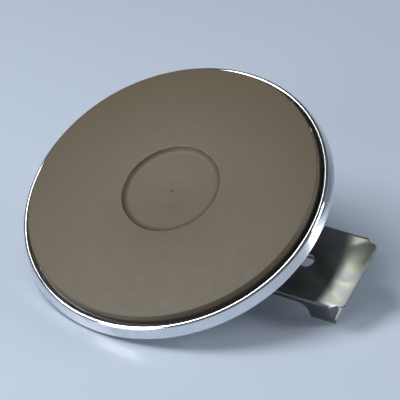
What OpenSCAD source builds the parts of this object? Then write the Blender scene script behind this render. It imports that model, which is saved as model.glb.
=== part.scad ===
// Solid electric hotplate with an overflow rim and a folded terminal bracket.
// Millimetres. The rim's foot seats on the hob at z = 0, the cooking face looks up, the bracket points along +X.

/* [Cooking plate] */
// Diameter of the cast plate
plate_d = 145; // [130:1:170]
// Height of the cooking face above the rim's foot
face_height = 10.2; // [9.6:0.1:12]
// Width of the chamfer round the cooking face
edge_chamfer = 0.8; // [0.3:0.1:1.5]
// Drop from the cooking face to the shoulder that the rim bears on
shoulder_drop = 6.4; // [6:0.1:7.2]
// Width of the shoulder
shoulder_w = 3; // [2.5:0.1:3.5]
// Solid iron above the coil grooves
skin_t = 5; // [4:0.1:6]
// Depth of the coil grooves
groove_depth = 6.6; // [5.6:0.1:7.2]
// Diameter of the dish in the middle of the cooking face
dish_d = 49.6; // [40:0.2:56]
// Depth of the dish
dish_depth = 2.4; // [1.5:0.1:2.8]
// Width of the curved wall round the dish
dish_wall_w = 3.8; // [2:0.1:5]
// Depth of the shallow cone inside the dish's wall
dish_cone_depth = 0.6; // [0.2:0.1:1]
// Diameter of the flat middle of the dish
dish_flat_d = 14; // [8:0.5:20]
// Diameter of the turning mark in the centre
centre_mark_d = 1.8; // [1:0.1:3]
// Depth of the turning mark
centre_mark_depth = 0.5; // [0.2:0.1:0.8]
// Diameter of the boss that takes the stud
boss_d = 20; // [16:0.5:24]

/* [Heating coils] */
// Thickness of the iron wall outside the outermost coil groove
edge_wall = 4.5; // [3.6:0.1:5.4]
// Distance between neighbouring grooves
groove_pitch = 8; // [7.2:0.1:8.6]
// Width of a groove
groove_w = 6; // [5.2:0.1:6.6]
// Outer diameter of a wound coil
coil_d = 4; // [3:0.1:4.6]
// Depth of the mass that is left out at the mouth of a groove
mass_recess = 0.8; // [0.2:0.1:1.2]
// Angle from the bracket's line to where a coil changes groove
crossing_angle = 26; // [22:1:60]

/* [Overflow rim] */
// Distance from the plate's side out to the middle of the rim's crest
crest_offset = 2.6; // [2.3:0.1:3.2]
// Distance from the middle of the crest out to the rim's foot
rim_flare = 2.9; // [2.4:0.1:4]
// Drop from the cooking face to the rim's crest
crest_drop = 4.1; // [3.6:0.1:4.8]
// Radius of the rolled crest
crest_r = 1.5; // [1:0.1:1.8]
// Angle at which the crest's roll begins, 90 being its top
roll_start_angle = 80; // [70:1:85]
// Length of the easing at the foot of the rim's inner slope
slope_foot_ease = 0.8; // [0.4:0.1:1.2]
// Length of the easing at the head of the rim's inner slope
slope_head_ease = 1.4; // [0.8:0.1:1.6]
// Thickness of the rim's sheet
rim_sheet = 0.7; // [0.4:0.1:1]
// Gap between the plate's side and the rim
rim_gap = 0.3; // [0.1:0.1:0.5]
// Height of the upright band at the rim's foot
foot_band = 0.4; // [0.2:0.1:1]

/* [Bottom cover] */
// Thickness of the cover's sheet
cover_sheet = 0.8; // [0.5:0.1:1.2]
// Depth of the cover's flat bottom below the rim's foot, outside
cover_depth = 10; // [8.6:0.1:12]
// Width of the cover's sloping part, between the flat bottom and the upright wall
cover_slope_w = 18.8; // [14:0.2:21]
// Width of the cover's flange under the rim
cover_flange_w = 2.6; // [1.8:0.1:2.8]
// Height of the cover's upright wall below the rim's flange
cover_wall_h = 4.8; // [4:0.1:5.4]
// Inside radius of the bend round the flat bottom
cover_knuckle_r = 3; // [2:0.1:5]
// Inside radius of the bend below the upright wall
cover_bend_r = 1.2; // [0.6:0.1:1.6]

/* [Stud and fixings] */
// Thread diameter of the centre stud
stud_d = 6; // [5:0.1:8]
// Reach of the stud below the rim's foot
stud_reach = 40.3; // [30:0.2:50]
// Length of the stud that is screwed into the boss
stud_grip = 11.2; // [8:0.2:12]
// Depth of the tapped hole past the stud's end
tap_runout = 1.4; // [0.6:0.1:2]
// Height of the ring that is rolled into the thread below the nut, to lock it
lock_ring_h = 0.8; // [0.4:0.1:1.6]
// Depth of the rolled ring
lock_ring_depth = 0.25; // [0.1:0.05:0.5]
// Width across flats of the stud nut
stud_nut_af = 10; // [9:0.5:13]
// Height of the stud nut
stud_nut_h = 5; // [4:0.1:6.5]
// Diameter of the stud washer
stud_washer_d = 12; // [11:0.5:18]
// Thickness of the stud washer
stud_washer_t = 1.6; // [1:0.1:2]
// Shank diameter of the bracket rivets
rivet_d = 4; // [3:0.1:5]
// Head diameter of the bracket rivets
rivet_head_d = 7; // [6:0.1:8]
// Head height of the bracket rivets
rivet_head_h = 1.6; // [1:0.1:2]
// Distance of the rivets back from where the pad bends down
rivet_back = 6; // [5.4:0.1:8]
// Distance between the two rivets
rivet_spacing = 18; // [14:0.5:20]

/* [Terminal bracket] */
// Thickness of the bracket's sheet
bracket_sheet = 1.2; // [0.8:0.1:1.5]
// Width over the side flanges
bracket_w = 41.7; // [40:0.1:46]
// Distance from the rim's foot out to the bracket's tip
bracket_overhang = 18.3; // [14:0.1:26]
// Depth of the web's upper face below the rim's foot
web_depth = 20.5; // [17:0.1:24]
// Width of the pad under the cover
pad_w = 30; // [28:0.5:36]
// Length of the pad behind the stud
pad_back = 14; // [12:0.5:18]
// Length over which the pad widens to the bracket's full width
pad_flare = 4; // [2:0.5:6]
// Distance from the lead bushes back to where the pad bends down
joggle_back = 14.8; // [13:0.2:16]
// Length of the sloping step, along the bracket
joggle_run = 6.4; // [5:0.2:7]
// Radius of the bends at both ends of the step
joggle_bend_r = 2.4; // [1:0.1:3]
// Depth of the shallow side flanges, over the web
lip_depth = 3.2; // [2.4:0.1:5]
// Depth of the ears, over the web
ear_depth = 14.2; // [13.6:0.1:16]
// Distance from the ears' outer ends to the bracket's tip
tip_margin = 7; // [6.3:0.1:9]
// Length of the ears
ear_length = 13.3; // [12:0.1:14]
// Outside radius of the folds
fold_r = 1.6; // [1.3:0.1:2.4]
// Radius where a shallow flange runs into an ear
ear_root_r = 5; // [2:0.1:8]
// Width that each corner is cut back beside the tip
corner_cut = 2.6; // [1.5:0.1:3.5]
// Length of each cut corner
corner_run = 3.3; // [2:0.1:4]
// Depth to which the ear's sheet wraps round a cut corner
corner_wrap_depth = 11.4; // [8:0.1:12.4]
// Radius of the tip's corners
tip_r = 2.5; // [1:0.1:4]
// Diameter of the round hole in the web
web_hole_d = 7.4; // [5:0.1:9]
// Distance from the ears back to the round hole
web_hole_back = 9; // [6:0.1:12]
// Width of the tabs bent in under the ceramic block
hold_tab_w = 2.4; // [1.5:0.1:2.6]
// Length of the tabs, along the bracket
hold_tab_length = 6; // [4:0.5:9]

/* [Terminals] */
// Distance between neighbouring terminals
pole_pitch = 9; // [8.2:0.1:9.8]
// Drop from the web's upper face to the line of the leads
lead_drop = 5.4; // [5:0.1:6]
// Diameter of a lead wire
lead_d = 1.2; // [0.8:0.1:1.4]
// Inside bend radius of a lead wire
lead_bend_r = 2; // [1:0.1:2.5]
// Outer diameter of a lead bush
bush_d = 6; // [5:0.1:6.6]
// Diameter of a bush's collar
bush_collar_d = 7.4; // [6.8:0.1:8]
// Height of a bush's collar
bush_collar_h = 1.5; // [1:0.1:1.8]
// Length of a bush that stands up inside the cover
bush_rise = 1.8; // [0.8:0.1:2]
// Diameter of the bore through a bush
bush_bore_d = 1.8; // [1.6:0.1:2.4]
// Distance by which the ceramic block stays inside the ends of the ears
block_inset = 0.15; // [0.1:0.05:0.3]
// Length of a brass clamp
clamp_length = 10; // [9:0.1:11]
// Width of a brass clamp
clamp_w = 6.4; // [6:0.1:6.8]
// Height of a brass clamp above the line of the leads
clamp_rise = 2.4; // [2.1:0.1:2.8]
// Height of a brass clamp below the line of the leads
clamp_fall = 3.5; // [3:0.1:3.8]
// Diameter of the hole for the supply conductor
supply_bore_d = 3.2; // [2.4:0.1:3.6]
// Length of the supply conductor's hole in the brass
supply_bore_l = 6.2; // [5.6:0.1:6.4]
// Diameter of the block's mouth in front of a clamp
mouth_d = 4.4; // [3.8:0.1:5]
// Thread diameter of the clamp screws
clamp_screw_d = 3; // [2.5:0.1:3.2]
// Head diameter of the clamp screws
clamp_head_d = 4; // [3.6:0.1:4.4]
// Head height of the clamp screws
clamp_head_h = 2; // [1.4:0.1:2.4]
// Length of the clamp screws below their heads
clamp_screw_l = 3.7; // [3.5:0.1:3.9]
// Distance of each clamp screw from the clamp's nearer end
clamp_screw_inset = 2.3; // [2.2:0.1:2.5]
// Diameter of the crimped sleeve where two coils share a lead
sleeve_d = 2; // [1.8:0.1:2.4]
// Length of the crimped sleeve
sleeve_length = 3; // [2.4:0.1:3.4]

/* [Earth terminal] */
// Distance from the ears back to the earth screw
earth_back = 19; // [17:0.2:21]
// Length of the ear that carries the earth screw
earth_ear_length = 12; // [10:0.2:13]
// Drop from the web's upper face to the earth screw
earth_drop = 9; // [8.4:0.1:9.4]
// Thread diameter of the earth screw
earth_screw_d = 4; // [3:0.1:4.4]
// Head diameter of the earth screw
earth_head_d = 7; // [6:0.1:8]
// Head height of the earth screw
earth_head_h = 2.4; // [1.8:0.1:2.8]
// Diameter of the earth washer
earth_washer_d = 9; // [8:0.1:9.6]
// Thickness of the earth washer
earth_washer_t = 0.8; // [0.5:0.1:1.2]
// Width across flats of the earth nut
earth_nut_af = 7; // [6.5:0.1:8]
// Height of the earth nut
earth_nut_h = 3.2; // [2.4:0.1:4]
// Length of thread that stands out of the earth nut
earth_thread_out = 1; // [0.5:0.1:3]

/* [Clearances] */
// Gap round a thread in its nut or tapped hole, on the radius
thread_gap = 0.05; // [0.01:0.01:0.1]
// Gap round a screw, rivet or bush in its through hole, on the radius
hole_gap = 0.2; // [0.05:0.05:0.4]
// Gap between a brass clamp and its chamber, all round
chamber_gap = 0.1; // [0.05:0.05:0.2]
// Gap between the ceramic block and each ear
block_gap = 0.2; // [0.05:0.05:0.3]
// Gap between a lead and the cover's sloping part
lead_gap = 0.2; // [0.1:0.1:0.6]

/* [Hidden] */
$fn = 96;
fine = 240;
small = 40;
bend_steps = 6;
// How far a cutter runs past a face
past = 1;
// How far a piece of sheet runs into the one it grows from
root_overlap = 0.5;

groove_count = 5;
pole_count = 4;

plate_r = plate_d / 2;
casting_r = plate_r - shoulder_w;
shoulder_z = face_height - shoulder_drop;
groove_roof = face_height - skin_t;
casting_bottom = groove_roof - groove_depth;
coil_z = groove_roof - groove_w / 2;
mass_bottom = casting_bottom + mass_recess;
crossing_coil_d = 0.85 * coil_d;

crest_z = face_height - crest_drop;
crest_middle_r = plate_r + crest_offset;
rim_r = crest_middle_r + rim_flare;
flange_inner_r = casting_r + rim_gap;
flange_bottom = shoulder_z - rim_sheet;

cover_inside = cover_sheet - cover_depth;
cover_wall_r = casting_r + rim_gap;
cover_wall_foot = flange_bottom - cover_wall_h;
cover_flat_r = cover_wall_r - cover_slope_w;
stud_hole_d = stud_d + 2 * hole_gap;

pad_top = -cover_depth;
pad_bottom = pad_top - bracket_sheet;
web_top = -web_depth;
web_bottom = web_top - bracket_sheet;
half_w = bracket_w / 2;
ear_inner = half_w - bracket_sheet;
bracket_reach = rim_r + bracket_overhang;
ear_end = bracket_reach - tip_margin;
ear_x = ear_end - ear_length;
web_hole_x = ear_x - web_hole_back;
earth_x = ear_x - earth_back;

// The bushes stand midway between the leads of the second and third grooves
bush_x = (lead_x(1, 2) + lead_x(2, 4)) / 2;
joggle_x = bush_x - joggle_back;
web_start = joggle_x + joggle_run;
rivet_x = joggle_x - rivet_back;

// The leads run inside the cover clear of its slope and of the bushes' tops
lead_bend = lead_bend_r + lead_d / 2;
lead_level = max(
    cover_inner_z(groove_r(groove_count - 1) - lead_bend) + lead_gap + lead_d / 2,
    cover_inside + bush_rise + lead_bend
);
lead_z = web_top - lead_drop;
washer_bottom = pad_bottom - stud_washer_t;
nut_bottom = washer_bottom - stud_nut_h;

block_bottom = web_top - ear_depth + bracket_sheet;
block_x = ear_x + ear_length / 2;
block_length = ear_length - 2 * block_inset;
clamp_x = block_x;
clamp_top = lead_z + clamp_rise;
clamp_bottom = lead_z - clamp_fall;
clamp_end = clamp_x + clamp_length / 2;
lead_end = clamp_end - supply_bore_l;
lead_screw_x = clamp_x - clamp_length / 2 + clamp_screw_inset;
supply_screw_x = clamp_end - clamp_screw_inset;

// Paths and sections

function unit(v) = v / norm(v);
function left_of(v) = [-v[1], v[0]];
function reversed(list) = [for (i = [len(list) - 1:-1:0]) list[i]];

// A cubic curve from a to d with b and c as its handles
function curve(a, b, c, d, steps) = [
    for (i = [0:steps])
        let (t = i / steps, s = 1 - t)
        s * s * s * a + 3 * s * s * t * b + 3 * s * t * t * c + t * t * t * d
];

// Points of an arc from angle a0 to angle a1
function arc(centre, r, a0, a1, steps) = [
    for (i = [0:steps])
        let (a = a0 + (a1 - a0) * i / steps)
        centre + r * [cos(a), sin(a)]
];

// The corner at b of the path a, b, c, rounded to radius r
function rounded_corner(a, b, c, r) =
    let (
        u = unit(a - b),
        w = unit(c - b),
        half = acos(u * w) / 2,
        centre = b + unit(u + w) * r / sin(half),
        s = b + u * r / tan(half) - centre,
        e = b + w * r / tan(half) - centre,
        a0 = atan2(s[1], s[0]),
        turn = (atan2(e[1], e[0]) - a0 + 540) % 360 - 180
    )
    arc(centre, r, a0, a0 + turn, bend_steps);

// A path with each inner corner rounded
function rounded_path(path, r) = [
    for (i = [0:len(path) - 1])
        each (i == 0 || i == len(path) - 1) ? [path[i]]
            : rounded_corner(path[i - 1], path[i], path[i + 1], r)
];

// Where a point of the path lands when the path is moved t to its left
function moved_point(path, i, t) =
    let (
        n0 = left_of(unit(path[max(i, 1)] - path[max(i, 1) - 1])),
        last = len(path) - 2,
        n1 = left_of(unit(path[min(i, last) + 1] - path[min(i, last)])),
        n = unit(n0 + n1)
    )
    path[i] + n * t / (n * n0);

// A sheet of thickness t on the left of a path, as a closed outline
function sheet_outline(path, t) =
    concat(path, reversed([for (i = [0:len(path) - 1]) moved_point(path, i, t)]));

// Y position of a terminal
function pole_y(i) = (i - 2.5) * pole_pitch;

// Middle radius of a groove, counted from the inside
function groove_r(i) = casting_r - edge_wall - groove_w / 2 - (groove_count - 1 - i) * groove_pitch;

// Height of the sloping part's inner face at radius r
function cover_inner_z(r) = cover_inside + (cover_wall_foot - cover_inside) * (r - cover_flat_r) / cover_slope_w;

// Angle at which a groove meets a lead's line
function lead_angle(i, pole) = asin(pole_y(pole) / groove_r(i));

// Distance along the bracket at which a groove meets a lead's line, to a hundredth of a millimetre
function lead_x(i, pole) = round(100 * groove_r(i) * cos(lead_angle(i, pole))) / 100;

// The cooking plate

// Half section of the casting, without its grooves
function plate_section() =
    let (
        dish_r = dish_d / 2,
        mark_r = centre_mark_d / 2,
        dish_z = face_height - dish_depth,
        wall_drop = dish_depth - dish_cone_depth,
        wall_foot = [dish_r - dish_wall_w, face_height - wall_drop]
    )
    concat(
        [[0, cover_inside], [boss_d / 2, cover_inside], [boss_d / 2, casting_bottom]],
        [[casting_r, casting_bottom], [casting_r, shoulder_z], [plate_r, shoulder_z]],
        [[plate_r, face_height - edge_chamfer]],
        [[plate_r - edge_chamfer / 3, face_height - edge_chamfer / 3]],
        [[plate_r - edge_chamfer, face_height]],
        curve([dish_r, face_height], [dish_r - dish_wall_w / 6, face_height - 0.7 * wall_drop],
            [dish_r - dish_wall_w / 2, face_height - wall_drop], wall_foot, 8),
        [[dish_flat_d / 2, dish_z], [mark_r, dish_z]],
        [[mark_r / 3, dish_z - centre_mark_depth], [0, dish_z - centre_mark_depth]]
    );

// The rings and crossings that the coils lie in, between two heights
module groove_space(bottom, top) {
    for (i = [0:groove_count - 1])
        translate([0, 0, bottom])
            difference() {
                cylinder(h = top - bottom, r = groove_r(i) + groove_w / 2, $fn = fine);
                translate([0, 0, -past])
                    cylinder(h = top - bottom + 2 * past, r = groove_r(i) - groove_w / 2, $fn = fine);
            }
    crossing_space(1, -crossing_angle, bottom, top);
    crossing_space(3, crossing_angle, bottom, top);
}

// A radial slot that joins groove i to the next one out
module crossing_space(i, angle, bottom, top) {
    rotate([0, 0, angle])
        translate([groove_r(i), -groove_w / 2, bottom])
            cube([groove_pitch, groove_w, top - bottom]);
}

module cooking_plate() {
    color([0.35, 0.31, 0.24])
        difference() {
            rotate_extrude($fn = fine)
                polygon(plate_section());
            groove_space(casting_bottom - past, groove_roof);
            translate([0, 0, cover_inside - past])
                cylinder(h = stud_grip + tap_runout + past, r = stud_d / 2 + thread_gap, $fn = small);
        }
}

// Coils and their embedding mass

// A stretch of coil along one groove
module coil_arc(i, from_angle, to_angle) {
    rotate([0, 0, from_angle])
        rotate_extrude(angle = to_angle - from_angle, $fn = fine)
            translate([groove_r(i), coil_z])
                circle(d = coil_d, $fn = small);
}

// The coil's step from groove i to the next one out, drawn a little slimmer
module coil_crossing(i, angle) {
    rotate([0, 0, angle])
        translate([groove_r(i), 0, coil_z])
            rotate([0, 90, 0])
                cylinder(h = groove_pitch, d = crossing_coil_d, $fn = small);
}

// Angle by which a coil runs past its crossing in groove i
function crossing_reach(i) = asin(coil_d / 2 / groove_r(i));

module inner_coil() {
    color([0.55, 0.5, 0.46])
        coil_arc(0, lead_angle(0, 3), 360 + lead_angle(0, 2));
}

module middle_coil() {
    color([0.55, 0.5, 0.46]) {
        coil_arc(2, lead_angle(2, 4), 360 - crossing_angle + crossing_reach(2));
        coil_crossing(1, -crossing_angle);
        coil_arc(1, lead_angle(1, 2), 360 - crossing_angle + crossing_reach(1));
    }
}

module outer_coil() {
    color([0.55, 0.5, 0.46]) {
        coil_arc(4, crossing_angle - crossing_reach(4), 360 + lead_angle(4, 1));
        coil_crossing(3, crossing_angle);
        coil_arc(3, crossing_angle - crossing_reach(3), 360 + lead_angle(3, 4));
    }
}

module embedding_mass() {
    color([0.78, 0.76, 0.7])
        difference() {
            groove_space(mass_bottom, groove_roof);
            inner_coil();
            middle_coil();
            outer_coil();
            for (i = [1:pole_count])
                lead_wire(i);
        }
}

// The overflow rim

// Upper and outer face of the rim, from its flange to its foot
function rim_path() =
    let (
        roll = [crest_middle_r, crest_z - crest_r],
        flare = atan2(rim_r - roll[0] - crest_r, roll[1] - foot_band),
        turn_r = plate_r + rim_gap
    )
    concat(
        [[flange_inner_r, shoulder_z]],
        curve([turn_r, shoulder_z], [turn_r + slope_foot_ease, shoulder_z],
            [roll[0] - slope_head_ease, crest_z], [roll[0], crest_z], 10),
        arc(roll, crest_r, roll_start_angle, flare, 8),
        [[rim_r, foot_band], [rim_r, 0]]
    );

module overflow_rim() {
    color([0.82, 0.83, 0.85])
        rotate_extrude($fn = fine)
            polygon(sheet_outline(reversed(rim_path()), rim_sheet));
}

// The bottom cover

// Inner face of the cover, from the centre hole to the flange's edge
function cover_path() =
    let (
        hole = [stud_hole_d / 2, cover_inside],
        knuckle = [cover_flat_r, cover_inside],
        wall_foot = [cover_wall_r, cover_wall_foot],
        wall_top = [cover_wall_r, flange_bottom]
    )
    concat(
        [hole],
        rounded_corner(hole, knuckle, wall_foot, cover_knuckle_r),
        rounded_corner(knuckle, wall_foot, wall_top, cover_bend_r),
        [wall_top, wall_top + [cover_flange_w, 0]]
    );

module bottom_cover() {
    color([0.6, 0.62, 0.62])
        difference() {
            rotate_extrude($fn = fine)
                polygon(sheet_outline(reversed(cover_path()), cover_sheet));
            for (i = [1:pole_count])
                translate([bush_x, pole_y(i), -cover_depth - past])
                    cylinder(h = cover_sheet + 2 * past, r = bush_d / 2 + hole_gap, $fn = small);
            for (side = [-1, 1])
                translate([rivet_x, side * rivet_spacing / 2, -cover_depth - past])
                    cylinder(h = cover_sheet + 2 * past, r = rivet_d / 2 + hole_gap, $fn = small);
        }
}

// Stud, washer and nut

module centre_stud() {
    stud_r = stud_d / 2;
    point = stud_d / 8;
    color([0.7, 0.71, 0.72])
        rotate_extrude($fn = $fn)
            polygon([
                [0, -stud_reach], [stud_r - point, -stud_reach], [stud_r, point - stud_reach],
                [stud_r, nut_bottom - lock_ring_h],
                [stud_r - lock_ring_depth, nut_bottom - lock_ring_h / 2],
                [stud_r, nut_bottom],
                [stud_r, cover_inside + stud_grip], [0, cover_inside + stud_grip]
            ]);
}

module stud_washer() {
    color([0.75, 0.76, 0.76])
        translate([0, 0, washer_bottom])
            difference() {
                cylinder(h = stud_washer_t, d = stud_washer_d);
                translate([0, 0, -past])
                    cylinder(h = stud_washer_t + 2 * past, d = stud_hole_d);
            }
}

// A hexagon nut standing on its lower face, with its corners turned off
module hex_nut(across_flats, height, thread_d) {
    corner_d = across_flats / cos(30);
    bevel = (corner_d - across_flats) / 2;
    difference() {
        intersection() {
            cylinder(h = height, d = corner_d, $fn = 6);
            rotate_extrude()
                polygon([
                    [0, 0], [across_flats / 2, 0], [across_flats / 2 + bevel, bevel * 0.6],
                    [across_flats / 2 + bevel, height - bevel * 0.6], [across_flats / 2, height], [0, height]
                ]);
        }
        translate([0, 0, -past])
            cylinder(h = height + 2 * past, r = thread_d / 2 + thread_gap);
    }
}

module stud_nut() {
    color([0.75, 0.76, 0.76])
        translate([0, 0, nut_bottom])
            hex_nut(stud_nut_af, stud_nut_h, stud_d);
}

// The terminal bracket

// Outline of the bracket seen from above
function bracket_plan() =
    let (
        pad = pad_w / 2,
        shoulder = ear_end,
        tab = half_w - corner_cut,
        cut_end = ear_end + corner_run,
        tip = bracket_reach - tip_r
    )
    concat(
        [[-pad_back, -pad], [joggle_x - pad_flare, -pad], [joggle_x, -half_w], [shoulder, -half_w], [cut_end, -tab]],
        arc([tip, tip_r - tab], tip_r, -90, 0, bend_steps),
        arc([tip, tab - tip_r], tip_r, 0, 90, bend_steps),
        [[cut_end, tab], [shoulder, half_w], [joggle_x, half_w], [joggle_x - pad_flare, pad], [-pad_back, pad]]
    );

// Upper face of the pad, the sloping step and the web, seen from the side
function bracket_side() =
    rounded_path([[-pad_back, pad_top], [joggle_x, pad_top], [web_start, web_top], [bracket_reach, web_top]],
        joggle_bend_r);

module pad_and_web() {
    intersection() {
        translate([0, half_w + past, 0])
            rotate([90, 0, 0])
                linear_extrude(bracket_w + 2 * past)
                    polygon(sheet_outline(reversed(bracket_side()), bracket_sheet));
        translate([0, 0, web_bottom - past])
            linear_extrude(web_depth)
                polygon(bracket_plan());
    }
}

// One side flange, from its fold down, between two places along the bracket
module flange(side, from_x, to_x, depth) {
    for_side(side)
        translate([from_x, ear_inner, web_top - depth])
            cube([to_x - from_x, bracket_sheet, depth - bracket_sheet / 2]);
}

// Turns a shape made for the +Y side to the side that is asked for
module for_side(side) {
    if (side > 0) {
        children();
    } else {
        mirror([0, 1, 0])
            children();
    }
}

// The rounded root between a shallow flange and an ear
module ear_root(side, x, direction) {
    for_side(side)
        translate([x, half_w, web_top - lip_depth])
            rotate([90, 0, 0])
                linear_extrude(bracket_sheet)
                    polygon(concat(
                        [[0, root_overlap], [-direction * ear_root_r, root_overlap]],
                        [for (p = arc([0, 0], 1, 90, 180, bend_steps))
                            [-direction * ear_root_r * (1 + p[0]), ear_root_r * (p[1] - 1)]]
                    ));
}

// What lies outside a quarter round of radius r along a fold
module outside_fold(r, size) {
    fold_length = ear_end - web_start;
    difference() {
        cube([fold_length, size, size]);
        translate([-past, 0, 0])
            rotate([0, 90, 0])
                cylinder(h = fold_length + 2 * past, r = r, $fn = small);
    }
}

// The fold's outside radius is cut from the web's long edges
module fold_cutter(side) {
    for_side(side)
        translate([web_start, half_w - fold_r, web_top - fold_r])
            outside_fold(fold_r, fold_r + past);
}

// Metal inside the fold, between the web and the flange
module fold_fillet(side) {
    inside_r = fold_r - bracket_sheet;
    for_side(side)
        translate([web_start, half_w - fold_r, web_top - fold_r])
            outside_fold(inside_r, inside_r);
}

// The sheet that wraps round a cut corner, running out to nothing towards the ear's foot
module corner_wrap(side) {
    start = [ear_end, half_w];
    end = start + [corner_run, -corner_cut];
    inward = -left_of(unit(end - start)) * bracket_sheet;
    for_side(side)
        intersection() {
            translate([0, 0, web_top - corner_wrap_depth])
                linear_extrude(corner_wrap_depth)
                    polygon([start, end, end + inward, start - [0, bracket_sheet]]);
            translate([0, half_w + past, web_top])
                rotate([90, 0, 0])
                    linear_extrude(half_w)
                        polygon([
                            [ear_end - past, 0], [end[0] + past, 0], [end[0] + past, -bracket_sheet],
                            [ear_end, -corner_wrap_depth], [ear_end - past, -corner_wrap_depth]
                        ]);
        }
}

// The tab that is bent in under the ceramic block
module hold_tab(side) {
    for_side(side)
        translate([block_x - hold_tab_length / 2, ear_inner - hold_tab_w, web_top - ear_depth])
            cube([hold_tab_length, hold_tab_w + bracket_sheet, bracket_sheet]);
}

module terminal_bracket() {
    earth_from = earth_x - earth_ear_length / 2;
    earth_to = earth_x + earth_ear_length / 2;
    color([0.55, 0.57, 0.56])
        difference() {
            union() {
                pad_and_web();
                for (side = [-1, 1]) {
                    flange(side, web_start + root_overlap, ear_end, lip_depth);
                    flange(side, ear_x, ear_end, ear_depth);
                    ear_root(side, ear_x, 1);
                    corner_wrap(side);
                    hold_tab(side);
                    fold_fillet(side);
                }
                flange(1, earth_from, earth_to, ear_depth);
                ear_root(1, earth_from, 1);
                ear_root(1, earth_to, -1);
            }
            for (side = [-1, 1])
                fold_cutter(side);
            translate([0, 0, pad_bottom - past])
                cylinder(h = bracket_sheet + 2 * past, d = stud_hole_d);
            for (side = [-1, 1])
                translate([rivet_x, side * rivet_spacing / 2, pad_bottom - past])
                    cylinder(h = bracket_sheet + 2 * past, r = rivet_d / 2 + hole_gap, $fn = small);
            for (i = [1:pole_count])
                translate([bush_x, pole_y(i), web_bottom - past])
                    cylinder(h = bracket_sheet + 2 * past, r = bush_d / 2 + hole_gap, $fn = small);
            translate([web_hole_x, 0, web_bottom - past])
                cylinder(h = bracket_sheet + 2 * past, d = web_hole_d);
            translate([earth_x, half_w + past, web_top - earth_drop])
                rotate([90, 0, 0])
                    cylinder(h = bracket_sheet + 2 * past, r = earth_screw_d / 2 + hole_gap, $fn = small);
        }
}

// A rivet with a low round head on both ends
module rivet(x, y) {
    bottom = pad_bottom - rivet_head_h;
    top = cover_inside + rivet_head_h;
    shank_r = rivet_d / 2;
    head_r = rivet_head_d / 2;
    translate([x, y, 0])
        rotate_extrude($fn = small)
            polygon(concat(
                curve([0, bottom], [head_r / 2, bottom], [head_r, bottom + rivet_head_h / 2],
                    [head_r, pad_bottom], 6),
                [[shank_r, pad_bottom], [shank_r, cover_inside]],
                curve([head_r, cover_inside], [head_r, top - rivet_head_h / 2], [head_r / 2, top], [0, top], 6)
            ));
}

module bracket_rivets() {
    color([0.72, 0.73, 0.73])
        for (side = [-1, 1])
            rivet(rivet_x, side * rivet_spacing / 2);
}

// Lead bushes and lead wires

module lead_bush(i) {
    collar_bottom = web_bottom - bush_collar_h;
    top = cover_inside + bush_rise;
    color([0.93, 0.91, 0.86])
        translate([bush_x, pole_y(i), 0])
            difference() {
                union() {
                    translate([0, 0, collar_bottom])
                        cylinder(h = bush_collar_h, d = bush_collar_d, $fn = small);
                    translate([0, 0, collar_bottom])
                        cylinder(h = top - collar_bottom, d = bush_d, $fn = small);
                }
                translate([0, 0, collar_bottom - past])
                    cylinder(h = top - collar_bottom + 2 * past, d = bush_bore_d, $fn = small);
            }
}

// An upright stretch of wire
module wire_up(x, bottom, top) {
    translate([x, 0, bottom])
        cylinder(h = top - bottom, d = lead_d, $fn = small);
}

// A stretch of wire along the bracket
module wire_along(x0, x1, z) {
    translate([min(x0, x1), 0, z])
        rotate([0, 90, 0])
            cylinder(h = abs(x1 - x0), d = lead_d, $fn = small);
}

// A square bend of wire about a centre, from the given angle on
module wire_bend(x, z, from_angle) {
    translate([x, 0, z])
        rotate([90, 0, 0])
            rotate([0, 0, from_angle])
                rotate_extrude(angle = 90, $fn = small)
                    translate([lead_bend, 0])
                        circle(d = lead_d, $fn = small);
}

// Wire that drops from a coil's end and runs to the bush, inside the cover
module wire_to_coil(x, coil_bottom) {
    out = x > bush_x ? 1 : -1;
    wire_up(x, lead_level + lead_bend, coil_bottom);
    wire_bend(x - out * lead_bend, lead_level + lead_bend, out > 0 ? 270 : 180);
    wire_along(x - out * lead_bend, bush_x + out * lead_bend, lead_level);
    wire_bend(bush_x + out * lead_bend, lead_level - lead_bend, out > 0 ? 90 : 0);
}

// Wire from the bush's top, down through it and out to the clamp
module wire_to_clamp() {
    wire_up(bush_x, lead_z + lead_bend, lead_level - lead_bend);
    wire_bend(bush_x + lead_bend, lead_z + lead_bend, 180);
    wire_along(bush_x + lead_bend, lead_end, lead_z);
}

// Wire from a second coil's end, held in a crimped sleeve on the run inside the cover
module branch(x, coil_bottom) {
    wire_up(x, lead_level, coil_bottom);
    translate([x - sleeve_length / 2, 0, lead_level])
        rotate([0, 90, 0])
            cylinder(h = sleeve_length, d = sleeve_d, $fn = small);
}

module lead_wire(i) {
    coil_bottom = coil_z - coil_d / 2;
    far_groove = [4, 0, 0, 3][i - 1];
    color([0.78, 0.77, 0.73])
        translate([0, pole_y(i), 0]) {
            wire_to_clamp();
            wire_to_coil(lead_x(far_groove, i), coil_bottom);
            if (i == 2)
                branch(lead_x(1, i), coil_bottom);
            if (i == 4)
                branch(lead_x(2, i), coil_bottom);
        }
}

// Terminal block, clamps and screws

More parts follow.
